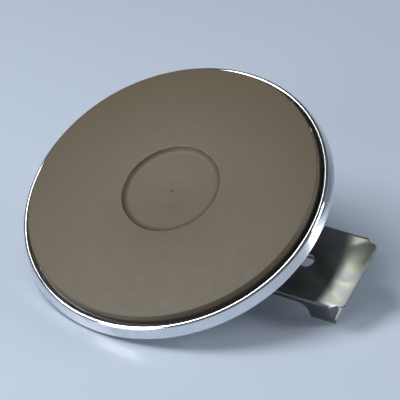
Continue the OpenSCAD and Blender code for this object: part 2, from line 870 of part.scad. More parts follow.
module terminal_block() {
    side = ear_inner - block_gap;
    corner = fold_r - bracket_sheet + block_gap;
    start = block_x - block_length / 2;
    color([0.9, 0.88, 0.83])
        difference() {
            translate([start, 0, 0])
                rotate([90, 0, 90])
                    linear_extrude(block_length)
                        polygon([
                            [-side, block_bottom], [side, block_bottom], [side, web_bottom - corner],
                            [side - corner, web_bottom], [corner - side, web_bottom], [-side, web_bottom - corner]
                        ]);
            for (i = [1:pole_count])
                translate([0, pole_y(i), 0]) {
                    translate([clamp_x - clamp_length / 2 - chamber_gap, -clamp_w / 2 - chamber_gap, block_bottom - past])
                        cube([clamp_length + 2 * chamber_gap, clamp_w + 2 * chamber_gap, clamp_top - block_bottom + past]);
                    translate([start - past, 0, lead_z])
                        rotate([0, 90, 0])
                            cylinder(h = block_length / 2, d = bush_bore_d, $fn = small);
                    translate([clamp_x, 0, lead_z])
                        rotate([0, 90, 0])
                            cylinder(h = block_length / 2 + past, d = mouth_d, $fn = small);
                }
        }
}

module terminal_clamp(i) {
    start = clamp_x - clamp_length / 2;
    color([0.8, 0.66, 0.35])
        translate([0, pole_y(i), 0])
            difference() {
                translate([start, -clamp_w / 2, clamp_bottom])
                    cube([clamp_length, clamp_w, clamp_rise + clamp_fall]);
                translate([start - past, 0, lead_z])
                    rotate([0, 90, 0])
                        cylinder(h = clamp_length, r = lead_d / 2 + thread_gap, $fn = small);
                translate([lead_end, 0, lead_z])
                    rotate([0, 90, 0])
                        cylinder(h = supply_bore_l + past, d = supply_bore_d, $fn = small);
                for (x = [lead_screw_x, supply_screw_x])
                    translate([x, 0, clamp_bottom - past])
                        cylinder(h = clamp_fall + past, r = clamp_screw_d / 2 + thread_gap, $fn = small);
            }
}

// A slotted cheese-head screw whose thread ends at the given height
module clamp_screw(x, tip_z) {
    slot_w = clamp_head_d / 6;
    slot_depth = clamp_head_h * 0.45;
    translate([x, 0, tip_z - clamp_screw_l])
        difference() {
            union() {
                cylinder(h = clamp_screw_l, d = clamp_screw_d, $fn = small);
                translate([0, 0, -clamp_head_h])
                    cylinder(h = clamp_head_h, d = clamp_head_d, $fn = small);
            }
            translate([-clamp_head_d, -slot_w / 2, -clamp_head_h - past])
                cube([2 * clamp_head_d, slot_w, slot_depth + past]);
        }
}

module lead_screws() {
    color([0.74, 0.74, 0.72])
        for (i = [1:pole_count])
            translate([0, pole_y(i), 0])
                clamp_screw(lead_screw_x, lead_z - lead_d / 2);
}

module supply_screws() {
    color([0.74, 0.74, 0.72])
        for (i = [1:pole_count])
            translate([0, pole_y(i), 0])
                clamp_screw(supply_screw_x, lead_z - supply_bore_d / 2);
}

// Earth screw, washer and nut

// Stands a shape along +Y at the earth screw, at the given distance from the bracket's middle
module at_earth(y) {
    translate([earth_x, y, web_top - earth_drop])
        rotate([-90, 0, 0])
            children();
}

module earth_screw() {
    shank = bracket_sheet + earth_washer_t + earth_nut_h + earth_thread_out;
    slot_w = earth_head_d / 6;
    earth_slot_depth = earth_head_h * 0.45;
    color([0.74, 0.75, 0.75])
        at_earth(ear_inner)
            difference() {
                union() {
                    cylinder(h = shank, d = earth_screw_d, $fn = small);
                    translate([0, 0, -earth_head_h])
                        cylinder(h = earth_head_h, d = earth_head_d, $fn = small);
                }
                translate([-earth_head_d, -slot_w / 2, -earth_head_h - past])
                    cube([2 * earth_head_d, slot_w, earth_slot_depth + past]);
            }
}

module earth_washer() {
    color([0.8, 0.8, 0.78])
        at_earth(half_w)
            difference() {
                cylinder(h = earth_washer_t, d = earth_washer_d, $fn = small);
                translate([0, 0, -past])
                    cylinder(h = earth_washer_t + 2 * past, r = earth_screw_d / 2 + hole_gap, $fn = small);
            }
}

module earth_nut() {
    color([0.75, 0.76, 0.76])
        at_earth(half_w + earth_washer_t)
            hex_nut(earth_nut_af, earth_nut_h, earth_screw_d);
}

cooking_plate();
overflow_rim();
embedding_mass();
inner_coil();
middle_coil();
outer_coil();
bottom_cover();
centre_stud();
stud_washer();
stud_nut();
terminal_bracket();
bracket_rivets();
lead_bush(1);  // lead_bush_1
lead_bush(2);  // lead_bush_2
lead_bush(3);  // lead_bush_3
lead_bush(4);  // lead_bush_4
lead_wire(1);  // lead_wire_1
lead_wire(2);  // lead_wire_2
lead_wire(3);  // lead_wire_3
lead_wire(4);  // lead_wire_4
terminal_block();
terminal_clamp(1);  // terminal_clamp_1
terminal_clamp(2);  // terminal_clamp_2
terminal_clamp(3);  // terminal_clamp_3
terminal_clamp(4);  // terminal_clamp_4
lead_screws();
supply_screws();
earth_screw();
earth_washer();
earth_nut();
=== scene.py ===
"""Looks of a solid electric hotplate, built round its construction model."""

import math

import bmesh
import bpy
from mathutils import Matrix, Vector


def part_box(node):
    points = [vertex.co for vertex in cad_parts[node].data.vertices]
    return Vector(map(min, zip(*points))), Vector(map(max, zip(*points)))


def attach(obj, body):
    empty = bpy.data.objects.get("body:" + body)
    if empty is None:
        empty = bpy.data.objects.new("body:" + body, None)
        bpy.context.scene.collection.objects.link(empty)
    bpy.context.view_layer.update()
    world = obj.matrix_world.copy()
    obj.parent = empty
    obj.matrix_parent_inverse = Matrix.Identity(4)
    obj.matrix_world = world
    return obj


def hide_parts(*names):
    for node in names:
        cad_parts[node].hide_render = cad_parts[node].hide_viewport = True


bl_info = {
    "name": "Hotplate looks",
    "version": (1, 0, 0),
    "blender": (4, 5, 0),
    "location": "View3D > Sidebar > Hotplate",
    "description": "Builds the surfaces, threads, windings and stage of a solid electric hotplate",
    "category": "Object",
}

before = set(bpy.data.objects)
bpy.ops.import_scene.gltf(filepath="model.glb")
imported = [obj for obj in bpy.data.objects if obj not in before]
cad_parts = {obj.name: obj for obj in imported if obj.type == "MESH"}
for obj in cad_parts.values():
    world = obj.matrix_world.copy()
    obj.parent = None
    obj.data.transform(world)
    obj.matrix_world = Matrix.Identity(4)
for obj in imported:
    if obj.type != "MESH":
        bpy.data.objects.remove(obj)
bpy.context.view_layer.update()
MM = 0.001

PLATE_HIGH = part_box("cooking_plate")[1]
RIM_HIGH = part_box("overflow_rim")[1]
STUD_LOW, STUD_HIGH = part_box("centre_stud")


def picture(red, green, blue):
    """A colour as it reads in a picture, 0 to 255, as linear light."""
    return tuple(
        (value / 255 / 12.92) if value < 10.3 else ((value / 255 + 0.055) / 1.055) ** 2.4
        for value in (red, green, blue)
    )


def length(label, default, note):
    """A size in metres."""
    return bpy.props.FloatProperty(name=label, description=note, default=default, unit="LENGTH", precision=5)


def colour(label, default, note):
    """A colour in linear light."""
    return bpy.props.FloatVectorProperty(
        name=label, description=note, default=default, subtype="COLOR", size=3, min=0, max=1
    )


# Sizes and colours


class HotplateSizes(bpy.types.PropertyGroup):
    """Sizes of the pieces that are turned, threaded or wound here."""

    plate_radius: length("Plate radius", PLATE_HIGH.x, "Radius of the cast plate")
    face_height: length("Face height", PLATE_HIGH.z, "Height of the cooking face over the rim's foot")
    chamfer: length("Chamfer", 0.8 * MM, "Width of the chamfer round the cooking face")
    shoulder_width: length("Shoulder width", 3 * MM, "Width of the shoulder that the rim bears on")
    shoulder_height: length("Shoulder height", 3.8 * MM, "Height of that shoulder over the rim's foot")
    dish_radius: length("Dish radius", 24.8 * MM, "Radius of the dish in the cooking face")
    dish_wall: length("Dish wall", 3.8 * MM, "Width of the curved wall round the dish")
    dish_depth: length("Dish depth", 2.4 * MM, "Depth of the dish in its middle")
    dish_cone: length("Dish cone", 0.6 * MM, "Part of that depth that the shallow cone takes")
    dish_flat: length("Dish flat", 7 * MM, "Radius of the flat middle of the dish")
    mark_radius: length("Centre mark", 0.9 * MM, "Radius of the turning mark in the centre")
    mark_depth: length("Centre mark depth", 0.5 * MM, "Depth of the turning mark")
    casting_bottom: length("Casting bottom", -1.4 * MM, "Height of the casting's underside")
    boss_radius: length("Boss radius", 10 * MM, "Radius of the boss that takes the stud")
    boss_bottom: length("Boss bottom", -9.2 * MM, "Height of the boss's end")
    tapped_radius: length("Tapped hole", 3.05 * MM, "Radius of the tapped hole for the stud")
    tapped_depth: length("Tapped depth", 12.6 * MM, "Depth of that hole")
    groove_roof: length("Groove roof", 5.2 * MM, "Height of the roof of the coil grooves")
    groove_width: length("Groove width", 6 * MM, "Width of a coil groove")
    groove_pitch: length("Groove pitch", 8 * MM, "Distance between neighbouring grooves")
    outer_groove: length("Outer groove", 62 * MM, "Middle radius of the outermost groove")
    crossing_angle: bpy.props.FloatProperty(
        name="Crossing angle",
        description="Angle from the bracket's line to where a coil changes groove",
        default=math.radians(26),
        subtype="ANGLE",
    )
    rim_radius: length("Rim radius", RIM_HIGH.x, "Radius of the rim's foot")
    crest_height: length("Crest height", RIM_HIGH.z, "Height of the rim's crest over its foot")
    crest_roll: length("Crest roll", 1.5 * MM, "Radius of the rolled crest")
    crest_inset: length("Crest inset", 2.9 * MM, "Distance from the rim's foot in to the middle of its crest")
    rim_sheet: length("Rim sheet", 0.7 * MM, "Thickness of the rim's sheet")
    rim_gap: length("Rim gap", 0.3 * MM, "Gap between the plate and the rim")
    foot_band: length("Foot band", 0.4 * MM, "Height of the upright band at the rim's foot")
    stud_pitch: length("Stud pitch", 1 * MM, "Pitch of the stud's thread")
    stud_thread: length("Stud thread depth", 0.55 * MM, "Depth of the stud's thread")
    coil_radius: length("Coil radius", 1.85 * MM, "Middle radius of a wound coil")
    coil_wire: length("Coil wire", 0.15 * MM, "Radius of the resistance wire")
    coil_pitch: length("Coil pitch", 1.5 * MM, "Distance between turns of a coil")
    soft_edge: length("Soft edge", 0.14 * MM, "Rounding of edges that were sheared, cut or turned")
    round_segments: bpy.props.IntProperty(
        name="Segments round", description="Segments round a turned piece", default=360, min=48, max=720
    )


class HotplateColours(bpy.types.PropertyGroup):
    """Colours of the finishes."""

    film: colour("Film", picture(92, 82, 62), "Brown-olive film on the cooking face")
    # Also the colour of the painted highlight on the chamfer, not only of worn film.
    edge_metal_and_highlight: colour("Bare edge", picture(190, 176, 150), "Metal where the film has worn off an edge")
    raw_iron: colour("Raw iron", picture(70, 62, 54), "Casting below the cooking face")
    polished: colour("Polished steel", picture(228, 230, 234), "Mirror-polished rim")
    cover: colour("Cover sheet", picture(178, 181, 180), "Dull coated sheet of the cover")
    zinc: colour("Zinc coat", picture(150, 155, 153), "Coated sheet of the bracket")
    fixing: colour("Fixings", picture(208, 209, 207), "Bright plated screws, nuts and rivets")
    brass: colour("Brass", picture(221, 190, 116), "Terminal clamps")
    ceramic: colour("Ceramic", picture(232, 227, 214), "Terminal block and lead bushes")
    filling: colour("Filling", picture(196, 191, 178), "Pressed mass round the coils")
    resistance: colour("Resistance wire", picture(150, 140, 132), "Wire of the coils")
    nickel: colour("Nickel wire", picture(206, 202, 192), "Lead wires")


class HotplateStage(bpy.types.PropertyGroup):
    """Floor, lights and camera."""

    floor: colour("Floor", picture(205, 218, 236), "Pale floor")
    lens: bpy.props.FloatProperty(
        name="Lens", description="Focal length on a 36 mm sensor, in millimetres", default=187.97
    )
    key: bpy.props.FloatProperty(name="Key light", description="Power of the key light, in watts", default=9.0)
    side: bpy.props.FloatProperty(name="Side light", description="Power of the side light, in watts", default=4.0)
    low: bpy.props.FloatProperty(name="Low light", description="Power of the low light, in watts", default=3.0)
    sky: bpy.props.FloatProperty(name="Sky", description="Brightness of the surroundings", default=0.55)


# Building node trees


class Net:
    """Adds nodes to one tree and joins them."""

    def __init__(self, tree):
        self.tree = tree

    def add(self, kind, inputs=None, **settings):
        """A node with its settings and inputs; an input is a value or another node's output."""
        made = self.tree.nodes.new(kind)
        for key, value in settings.items():
            setattr(made, key, value)
        for key, value in (inputs or {}).items():
            if isinstance(value, bpy.types.NodeSocket):
                self.tree.links.new(value, made.inputs[key])
            else:
                made.inputs[key].default_value = value
        return made

    def math(self, operation, first, second=0.0, third=0.0, clamp=False):
        """The output of a Math node."""
        inputs = {0: first, 1: second, 2: third}
        return self.add("ShaderNodeMath", inputs, operation=operation, use_clamp=clamp).outputs[0]

    def mix(self, share, first, second):
        """Two colours mixed by a share."""
        made = self.add("ShaderNodeMix", {0: share, 6: first, 7: second}, data_type="RGBA")
        return made.outputs[2]

    def spread(self, value, low, high, to_low=0.0, to_high=1.0):
        """A value's range stretched to another one."""
        made = self.add("ShaderNodeMapRange", {0: value, 1: low, 2: high, 3: to_low, 4: to_high})
        return made.outputs[0]


def opaque(rgb):
    """A colour with its fourth value."""
    return (*rgb, 1.0)


def new_group(name, kind, inputs, outputs):
    """An empty node group with its sockets: the tree, its net, its inputs and its outputs."""
    tree = bpy.data.node_groups.new(name, kind)
    for label, socket, value in inputs:
        made = tree.interface.new_socket(label, in_out="INPUT", socket_type=socket)
        if value is not None:
            made.default_value = value
    for label, socket in outputs:
        tree.interface.new_socket(label, in_out="OUTPUT", socket_type=socket)
    entry = tree.nodes.new("NodeGroupInput").outputs
    leave = tree.nodes.new("NodeGroupOutput").inputs
    return tree, Net(tree), entry, leave


# Effects that several finishes share


def edge_wear_and_highlight_group():
    """Mask of rounded and bent edges: where they rub bare, and where some finishes paint a highlight."""
    tree, net, entry, leave = new_group(
        "Edge wear and highlight",
        "ShaderNodeTree",
        [
            ("Width", "NodeSocketFloat", 0.3 * MM),
            ("Cut", "NodeSocketFloat", 0.02),
            ("Softness", "NodeSocketFloat", 0.1),
            ("Patch Scale", "NodeSocketFloat", 300.0),
        ],
        [("Mask", "NodeSocketFloat")],
    )
    rounded = net.add("ShaderNodeBevel", {"Radius": entry["Width"]}, samples=6).outputs[0]
    flat = net.add("ShaderNodeNewGeometry").outputs["Normal"]
    same = net.add("ShaderNodeVectorMath", {0: rounded, 1: flat}, operation="DOT_PRODUCT").outputs["Value"]
    bend = net.math("SUBTRACT", 1.0, same)
    place = net.add("ShaderNodeTexCoord").outputs["Object"]
    patch = net.add("ShaderNodeTexNoise", {"Vector": place, "Scale": entry["Patch Scale"], "Detail": 4.0})
    rubbed = net.math("MULTIPLY", bend, net.math("MULTIPLY_ADD", patch.outputs[0], 1.6, 0.2))
    full = net.math("ADD", entry["Cut"], entry["Softness"])
    tree.links.new(net.spread(rubbed, entry["Cut"], full), leave["Mask"])
    return tree


def grain_group():
    """Fine grain in two sizes, stretched along an axis where the metal was drawn."""
    tree, net, entry, leave = new_group(
        "Fine grain",
        "ShaderNodeTree",
        [
            ("Scale", "NodeSocketFloat", 1500.0),
            ("Stretch", "NodeSocketVector", (1.0, 1.0, 1.0)),
            ("Coarse Share", "NodeSocketFloat", 0.5),
        ],
        [("Shade", "NodeSocketFloat"), ("Height", "NodeSocketFloat")],
    )
    place = net.add("ShaderNodeTexCoord").outputs["Object"]
    drawn = net.add("ShaderNodeVectorMath", {0: place, 1: entry["Stretch"]}, operation="MULTIPLY").outputs[0]
    fine = net.add("ShaderNodeTexNoise", {"Vector": drawn, "Scale": entry["Scale"], "Detail": 3.0}).outputs[0]
    wide = net.math("MULTIPLY", entry["Scale"], 0.13)
    coarse = net.add("ShaderNodeTexNoise", {"Vector": drawn, "Scale": wide, "Detail": 5.0}).outputs[0]
    blend = net.math("ADD", net.math("MULTIPLY", coarse, entry["Coarse Share"]),
                     net.math("MULTIPLY", fine, net.math("SUBTRACT", 1.0, entry["Coarse Share"])))
    tree.links.new(net.spread(blend, 0.3, 0.7), leave["Shade"])
    tree.links.new(blend, leave["Height"])
    return tree


def turned_marks_group():
    """Rings that a tool or a polishing mop leaves round the vertical axis."""
    tree, net, entry, leave = new_group(
        "Turned marks",
        "ShaderNodeTree",
        [("Spacing", "NodeSocketFloat", 0.25 * MM), ("Breakup", "NodeSocketFloat", 0.3)],
        [("Shade", "NodeSocketFloat"), ("Height", "NodeSocketFloat")],
    )
    place = net.add("ShaderNodeTexCoord").outputs["Object"]
    axes = net.add("ShaderNodeSeparateXYZ", {0: place}).outputs
    across = net.add("ShaderNodeCombineXYZ", {0: axes[0], 1: axes[1]}).outputs[0]
    radius = net.add("ShaderNodeVectorMath", {0: across}, operation="LENGTH").outputs["Value"]
    walked = net.math("ADD", radius, net.math("MULTIPLY", axes[2], 0.7))
    turns = net.math("DIVIDE", walked, entry["Spacing"])
    ring = net.add("ShaderNodeTexNoise", {"W": turns, "Scale": 1.0, "Detail": 3.0}, noise_dimensions="1D").outputs[0]
    worn = net.add("ShaderNodeTexNoise", {"Vector": place, "Scale": 60.0, "Detail": 3.0}).outputs[0]
    keep = net.math("SUBTRACT", 1.0, net.math("MULTIPLY", worn, entry["Breakup"]))
    tree.links.new(net.spread(ring, 0.3, 0.7), leave["Shade"])
    tree.links.new(net.math("MULTIPLY", ring, keep), leave["Height"])
    return tree


def passivation_group():
    """Thin film that tints coated steel yellow, pink and green in soft patches."""
    tree, net, entry, leave = new_group(
        "Passivation",
        "ShaderNodeTree",
        [("Base", "NodeSocketColor", (0.5, 0.5, 0.5, 1)), ("Scale", "NodeSocketFloat", 60.0), ("Strength", "NodeSocketFloat", 0.4)],
        [("Color", "NodeSocketColor"), ("Mask", "NodeSocketFloat")],
    )
    place = net.add("ShaderNodeTexCoord").outputs["Object"]
    patches = net.add("ShaderNodeTexNoise", {"Vector": place, "Scale": entry["Scale"], "Detail": 6.0, "Distortion": 1.2})
    ramp = net.add("ShaderNodeValToRGB", {0: patches.outputs[0]})
    tints = ((0.30, (0.74, 0.78, 0.62)), (0.42, (0.80, 0.74, 0.50)), (0.5, (0.62, 0.64, 0.66)),
             (0.58, (0.80, 0.62, 0.66)), (0.70, (0.56, 0.72, 0.66)))
    stops = ramp.color_ramp.elements
    stops[0].position = tints[0][0]
    stops[1].position = tints[-1][0]
    for place_on_ramp, _ in tints[1:-1]:
        stops.new(place_on_ramp)
    for stop, (_, tint) in zip(stops, tints):
        stop.color = opaque(tint)
    tinted = net.add("ShaderNodeMix", {0: entry["Strength"], 6: entry["Base"], 7: ramp.outputs[0]},
                     data_type="RGBA", blend_type="MULTIPLY").outputs[2]
    tree.links.new(tinted, leave["Color"])
    tree.links.new(net.spread(patches.outputs[0], 0.35, 0.65), leave["Mask"])
    return tree


def smudge_group():
    """Wiped patches and hair-fine scratches on bright metal."""
    tree, net, entry, leave = new_group(
        "Smudges",
        "ShaderNodeTree",
        [("Scale", "NodeSocketFloat", 40.0), ("Scratch Scale", "NodeSocketFloat", 500.0)],
        [("Patch", "NodeSocketFloat"), ("Scratch", "NodeSocketFloat")],
    )
    place = net.add("ShaderNodeTexCoord").outputs["Object"]
    patch = net.add("ShaderNodeTexNoise", {"Vector": place, "Scale": entry["Scale"], "Detail": 4.0, "Distortion": 0.8})
    cells = net.add("ShaderNodeTexVoronoi", {"Vector": place, "Scale": entry["Scratch Scale"]},
                    feature="DISTANCE_TO_EDGE")
    thin = net.spread(cells.outputs["Distance"], 0.0, 0.035, 1.0, 0.0)
    kept = net.math("MULTIPLY", thin, net.spread(patch.outputs[0], 0.5, 0.62))
    tree.links.new(net.spread(patch.outputs[0], 0.4, 0.65), leave["Patch"])
    tree.links.new(kept, leave["Scratch"])
    return tree


EFFECTS = {}


def effect(net, name, inputs):
    """One of the shared effects placed in a material, with its own values."""
    makers = {
        "Edge wear and highlight": edge_wear_and_highlight_group,
        "Fine grain": grain_group,
        "Turned marks": turned_marks_group,
        "Passivation": passivation_group,
        "Smudges": smudge_group,
    }
    if name not in EFFECTS:
        EFFECTS[name] = makers[name]()
    return net.add("ShaderNodeGroup", inputs, node_tree=EFFECTS[name]).outputs


# Finishes


def new_finish(name, metallic, **plain):
    """A material with its net and its Principled shader, whose plain values are set on its own sockets."""
    material = bpy.data.materials.new(name)
    material.use_nodes = True
    net = Net(material.node_tree)
    shader = material.node_tree.nodes["Principled BSDF"]
    shader.inputs["Metallic"].default_value = metallic
    for label, value in plain.items():
        shader.inputs[label.replace("_", " ")].default_value = value
    return material, net, shader.inputs


def bump(net, sockets, height, distance, strength=1.0):
    """Relief from a height between 0 and 1 that stands for a distance in metres."""
    made = net.add("ShaderNodeBump", {"Height": height, "Distance": distance, "Strength": strength})
    net.tree.links.new(made.outputs[0], sockets["Normal"])


def film_finish(context):
    """Cast iron: a satin brown film on the face, raw iron below, and lighter metal on the edges, partly where the film
    wears off and partly a painted highlight on the chamfer.
    """
    sizes, colours = context.scene.hotplate_sizes, context.scene.hotplate_colours
    material, net, sockets = new_finish("film_on_iron", 0.0, Specular_IOR_Level=0.42)
    grain = effect(net, "Fine grain", {"Scale": 2600.0, "Coarse Share": 0.35})
    rings = effect(net, "Turned marks", {"Spacing": 0.22 * MM, "Breakup": 0.6})
    cloud = effect(net, "Fine grain", {"Scale": 260.0, "Coarse Share": 0.7})
    worn = effect(net, "Edge wear and highlight", {"Width": 0.35 * MM, "Cut": 0.035, "Softness": 0.12, "Patch Scale": 160.0})["Mask"]
    place = net.add("ShaderNodeTexCoord").outputs["Object"]
    axes = net.add("ShaderNodeSeparateXYZ", {0: place}).outputs
    skin = net.spread(axes[2], sizes.face_height - 4 * MM, sizes.face_height - 3 * MM)
    film = net.mix(net.math("MULTIPLY", cloud["Shade"], 0.5), opaque(colours.film),
                   opaque([value * 0.86 for value in colours.film]))
    speck = net.mix(net.math("MULTIPLY", grain["Shade"], 0.35), film, opaque([value * 0.72 for value in colours.film]))
    body = net.mix(skin, opaque(colours.raw_iron), speck)
    # Lighter metal on the edges and the chamfer: partly film worn off, partly a painted highlight along the chamfer.
    bare = net.math("MULTIPLY", worn, net.math("MULTIPLY", skin, 0.75))
    net.tree.links.new(net.mix(bare, body, opaque(colours.edge_metal_and_highlight)), sockets["Base Color"])
    net.tree.links.new(net.math("MULTIPLY", bare, 0.8), sockets["Metallic"])
    rough = net.math("MULTIPLY_ADD", grain["Shade"], 0.1, net.math("MULTIPLY_ADD", rings["Shade"], 0.05, 0.40))
    net.tree.links.new(net.math("SUBTRACT", rough, net.math("MULTIPLY", bare, 0.12)), sockets["Roughness"])
    relief = net.math("ADD", net.math("MULTIPLY", grain["Height"], 0.7), net.math("MULTIPLY", rings["Height"], 0.35))
    bump(net, sockets, relief, 0.012 * MM)
    return material


def polished_finish(context):
    """Mirror-polished stainless steel with faint mop lines, smudges and fine scratches."""
    colours = context.scene.hotplate_colours
    material, net, sockets = new_finish("polished_steel", 1.0)
    rings = effect(net, "Turned marks", {"Spacing": 0.12 * MM, "Breakup": 0.8})
    marks = effect(net, "Smudges", {"Scale": 55.0, "Scratch Scale": 420.0})
    dull = opaque([value * 0.9 for value in colours.polished])
    net.tree.links.new(net.mix(marks["Patch"], opaque(colours.polished), dull), sockets["Base Color"])
    haze = net.math("MULTIPLY_ADD", marks["Patch"], 0.05, net.math("MULTIPLY_ADD", rings["Shade"], 0.03, 0.055))
    net.tree.links.new(net.math("MULTIPLY_ADD", marks["Scratch"], 0.12, haze), sockets["Roughness"])
    bump(net, sockets, net.math("ADD", rings["Height"], net.math("MULTIPLY", marks["Scratch"], -0.6)), 0.0007 * MM)
    return material


def sheet_finish(name, base, roughness, strength, stretch, wear):
    """Coated sheet steel: soft coloured patches, rolling grain, and lighter edges and bends that are partly sheared
    metal and partly a painted highlight.
    """
    material, net, sockets = new_finish(name, 1.0)
    film = effect(net, "Passivation", {"Base": opaque(base), "Scale": 55.0, "Strength": strength})
    grain = effect(net, "Fine grain", {"Scale": 900.0, "Stretch": stretch, "Coarse Share": 0.5})
    marks = effect(net, "Smudges", {"Scale": 70.0, "Scratch Scale": 260.0})
    worn = effect(net, "Edge wear and highlight", {"Width": 0.4 * MM, "Cut": 0.03, "Softness": 0.15, "Patch Scale": 220.0})["Mask"]
    shaded = net.mix(net.math("MULTIPLY", grain["Shade"], 0.3), film["Color"], opaque([value * 0.6 for value in base]))
    # Lighter colour on edges and bends: partly sheared metal, partly a painted highlight where light catches them.
    bright = opaque([min(1.0, value * 1.7 + 0.08) for value in base])
    net.tree.links.new(net.mix(net.math("MULTIPLY", worn, wear), shaded, bright), sockets["Base Color"])
    rough = net.math("MULTIPLY_ADD", film["Mask"], 0.14, net.math("MULTIPLY_ADD", grain["Shade"], 0.08, roughness))
    net.tree.links.new(net.math("SUBTRACT", rough, net.math("MULTIPLY", worn, 0.15)), sockets["Roughness"])
    relief = net.math("ADD", grain["Height"], net.math("MULTIPLY", marks["Scratch"], -0.4))
    bump(net, sockets, relief, 0.006 * MM)
    return material


def cover_finish(context):
    """The cover's dull coated sheet."""
    base = context.scene.hotplate_colours.cover
    return sheet_finish("cover_sheet", base, 0.36, 0.25, (1.0, 1.0, 1.0), 0.6)


def bracket_finish(context):
    """The bracket's mottled zinc coat."""
    base = context.scene.hotplate_colours.zinc
    return sheet_finish("zinc_coated_sheet", base, 0.27, 0.75, (0.25, 1.0, 1.0), 0.85)


def metal_finish(name, base, roughness, scale, relief):
    """Turned, drawn or plated metal with rubbed edges."""
    material, net, sockets = new_finish(name, 1.0)
    grain = effect(net, "Fine grain", {"Scale": scale, "Coarse Share": 0.5})
    worn = effect(net, "Edge wear and highlight", {"Width": 0.2 * MM, "Cut": 0.05, "Softness": 0.2, "Patch Scale": 500.0})["Mask"]
    shaded = net.mix(net.math("MULTIPLY", grain["Shade"], 0.5), opaque(base), opaque([value * 0.66 for value in base]))
    bright = opaque([min(1.0, value * 1.25) for value in base])
    net.tree.links.new(net.mix(worn, shaded, bright), sockets["Base Color"])
    net.tree.links.new(net.math("MULTIPLY_ADD", grain["Shade"], 0.16, roughness), sockets["Roughness"])
    bump(net, sockets, grain["Height"], relief)
    return material


def fixing_finish(context):
    """Bright plated fixings."""
    return metal_finish("bright_plate", context.scene.hotplate_colours.fixing, 0.2, 1300.0, 0.004 * MM)


def brass_finish(context):
    """Machined brass."""
    return metal_finish("machined_brass", context.scene.hotplate_colours.brass, 0.22, 1500.0, 0.004 * MM)


def resistance_finish(context):
    """Oxidised resistance wire."""
    return metal_finish("resistance_wire", context.scene.hotplate_colours.resistance, 0.42, 2200.0, 0.004 * MM)


def nickel_finish(context):
    """Drawn nickel wire."""
    return metal_finish("nickel_wire", context.scene.hotplate_colours.nickel, 0.24, 1800.0, 0.003 * MM)


def fired_finish(name, base, roughness, scale, relief):
    """Pressed and fired ceramic: speckled, matt, a little darker where it is handled."""
    material, net, sockets = new_finish(name, 0.0, Specular_IOR_Level=0.4)
    grain = effect(net, "Fine grain", {"Scale": scale, "Coarse Share": 0.4})
    cloud = effect(net, "Fine grain", {"Scale": scale * 0.1, "Coarse Share": 0.8})
    worn = effect(net, "Edge wear and highlight", {"Width": 0.3 * MM, "Cut": 0.06, "Softness": 0.25, "Patch Scale": 400.0})["Mask"]
    clouded = net.mix(net.math("MULTIPLY", cloud["Shade"], 0.4), opaque(base), opaque([value * 0.84 for value in base]))
    speckled = net.mix(net.math("MULTIPLY", grain["Shade"], 0.22), clouded, opaque([value * 0.6 for value in base]))
    chipped = opaque([min(1.0, value * 1.1) for value in base])
    net.tree.links.new(net.mix(net.math("MULTIPLY", worn, 0.6), speckled, chipped), sockets["Base Color"])
    net.tree.links.new(net.math("MULTIPLY_ADD", grain["Shade"], 0.15, roughness), sockets["Roughness"])
    bump(net, sockets, grain["Height"], relief)
    return material


def ceramic_finish(context):
    """Steatite of the block and the bushes."""
    return fired_finish("steatite", context.scene.hotplate_colours.ceramic, 0.5, 1600.0, 0.02 * MM)


def filling_finish(context):
    """The pressed mass round the coils."""
    return fired_finish("pressed_filling", context.scene.hotplate_colours.filling, 0.75, 900.0, 0.08 * MM)


FINISHES = {}


def finish_for(context, maker):
    """The material that a maker function gives, made once."""
    if maker.__name__ not in FINISHES:
        FINISHES[maker.__name__] = maker(context)
    return FINISHES[maker.__name__]


# Turning meshes into pieces


def scene_object(name, mesh):
    """An object at the origin that shows a mesh."""
    made = bpy.data.objects.new(name, mesh)
    bpy.context.scene.collection.objects.link(made)
    return made


def frozen_mesh(made):
    """The plain mesh that an object's modifiers give; the object goes."""
    bpy.context.view_layer.update()
    graph = bpy.context.evaluated_depsgraph_get()
    mesh = bpy.data.meshes.new_from_object(made.evaluated_get(graph))
    bpy.data.objects.remove(made)
    return mesh


def face_outwards(mesh):
    """Turns a closed mesh so that its faces look out."""
    work = bmesh.new()
    work.from_mesh(mesh)
    bmesh.ops.recalc_face_normals(work, faces=work.faces)
    if work.calc_volume(signed=True) < 0:
        bmesh.ops.reverse_faces(work, faces=work.faces)
    work.to_mesh(mesh)
    work.free()


def add_piece(name, mesh, material, nodes):
    """A finished piece that stands for its construction nodes."""
    mesh.materials.clear()
    mesh.materials.append(material)
    mesh.name = name
    piece = scene_object(name, mesh)
    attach(piece, "root")
    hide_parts(*nodes)
    return piece


def shade_by_angle(mesh, degrees):
    """Smooth faces, with a crease where they meet at more than an angle."""
    mesh.shade_smooth()
    mesh.set_sharp_from_angle(angle=math.radians(degrees))


def merged_copy(*nodes):
    """The meshes of construction nodes as one, with their loose corners joined and flat faces made whole."""
    work = bmesh.new()
    for node in nodes:
        work.from_mesh(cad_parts[node].data)
    bmesh.ops.remove_doubles(work, verts=work.verts, dist=0.002 * MM)
    bmesh.ops.dissolve_limit(work, angle_limit=math.radians(0.5), verts=work.verts, edges=work.edges)
    mesh = bpy.data.meshes.new("merged")
    work.to_mesh(mesh)
    work.free()
    return mesh


def softened_piece(name, nodes, maker, context, edge=None):
    """A piece that keeps its nodes' shape, with its sharp edges rounded."""
    made = scene_object("softening", merged_copy(*nodes))
    rounding = made.modifiers.new("Rounded edges", "BEVEL")
    rounding.width = context.scene.hotplate_sizes.soft_edge if edge is None else edge
    rounding.segments = 2
    rounding.limit_method = "ANGLE"
    rounding.angle_limit = math.radians(38)
    mesh = frozen_mesh(made)
    shade_by_angle(mesh, 32)
    return add_piece(name, mesh, finish_for(context, maker), nodes)


def outline_mesh(points, closed):
    """A section as a mesh of edges, with the radius along X."""
    count = len(points)
    edges = [(i, (i + 1) % count) for i in range(count if closed else count - 1)]
    mesh = bpy.data.meshes.new("outline")
    mesh.from_pydata([(radius, 0.0, height) for radius, height in points], edges, [])
    return mesh


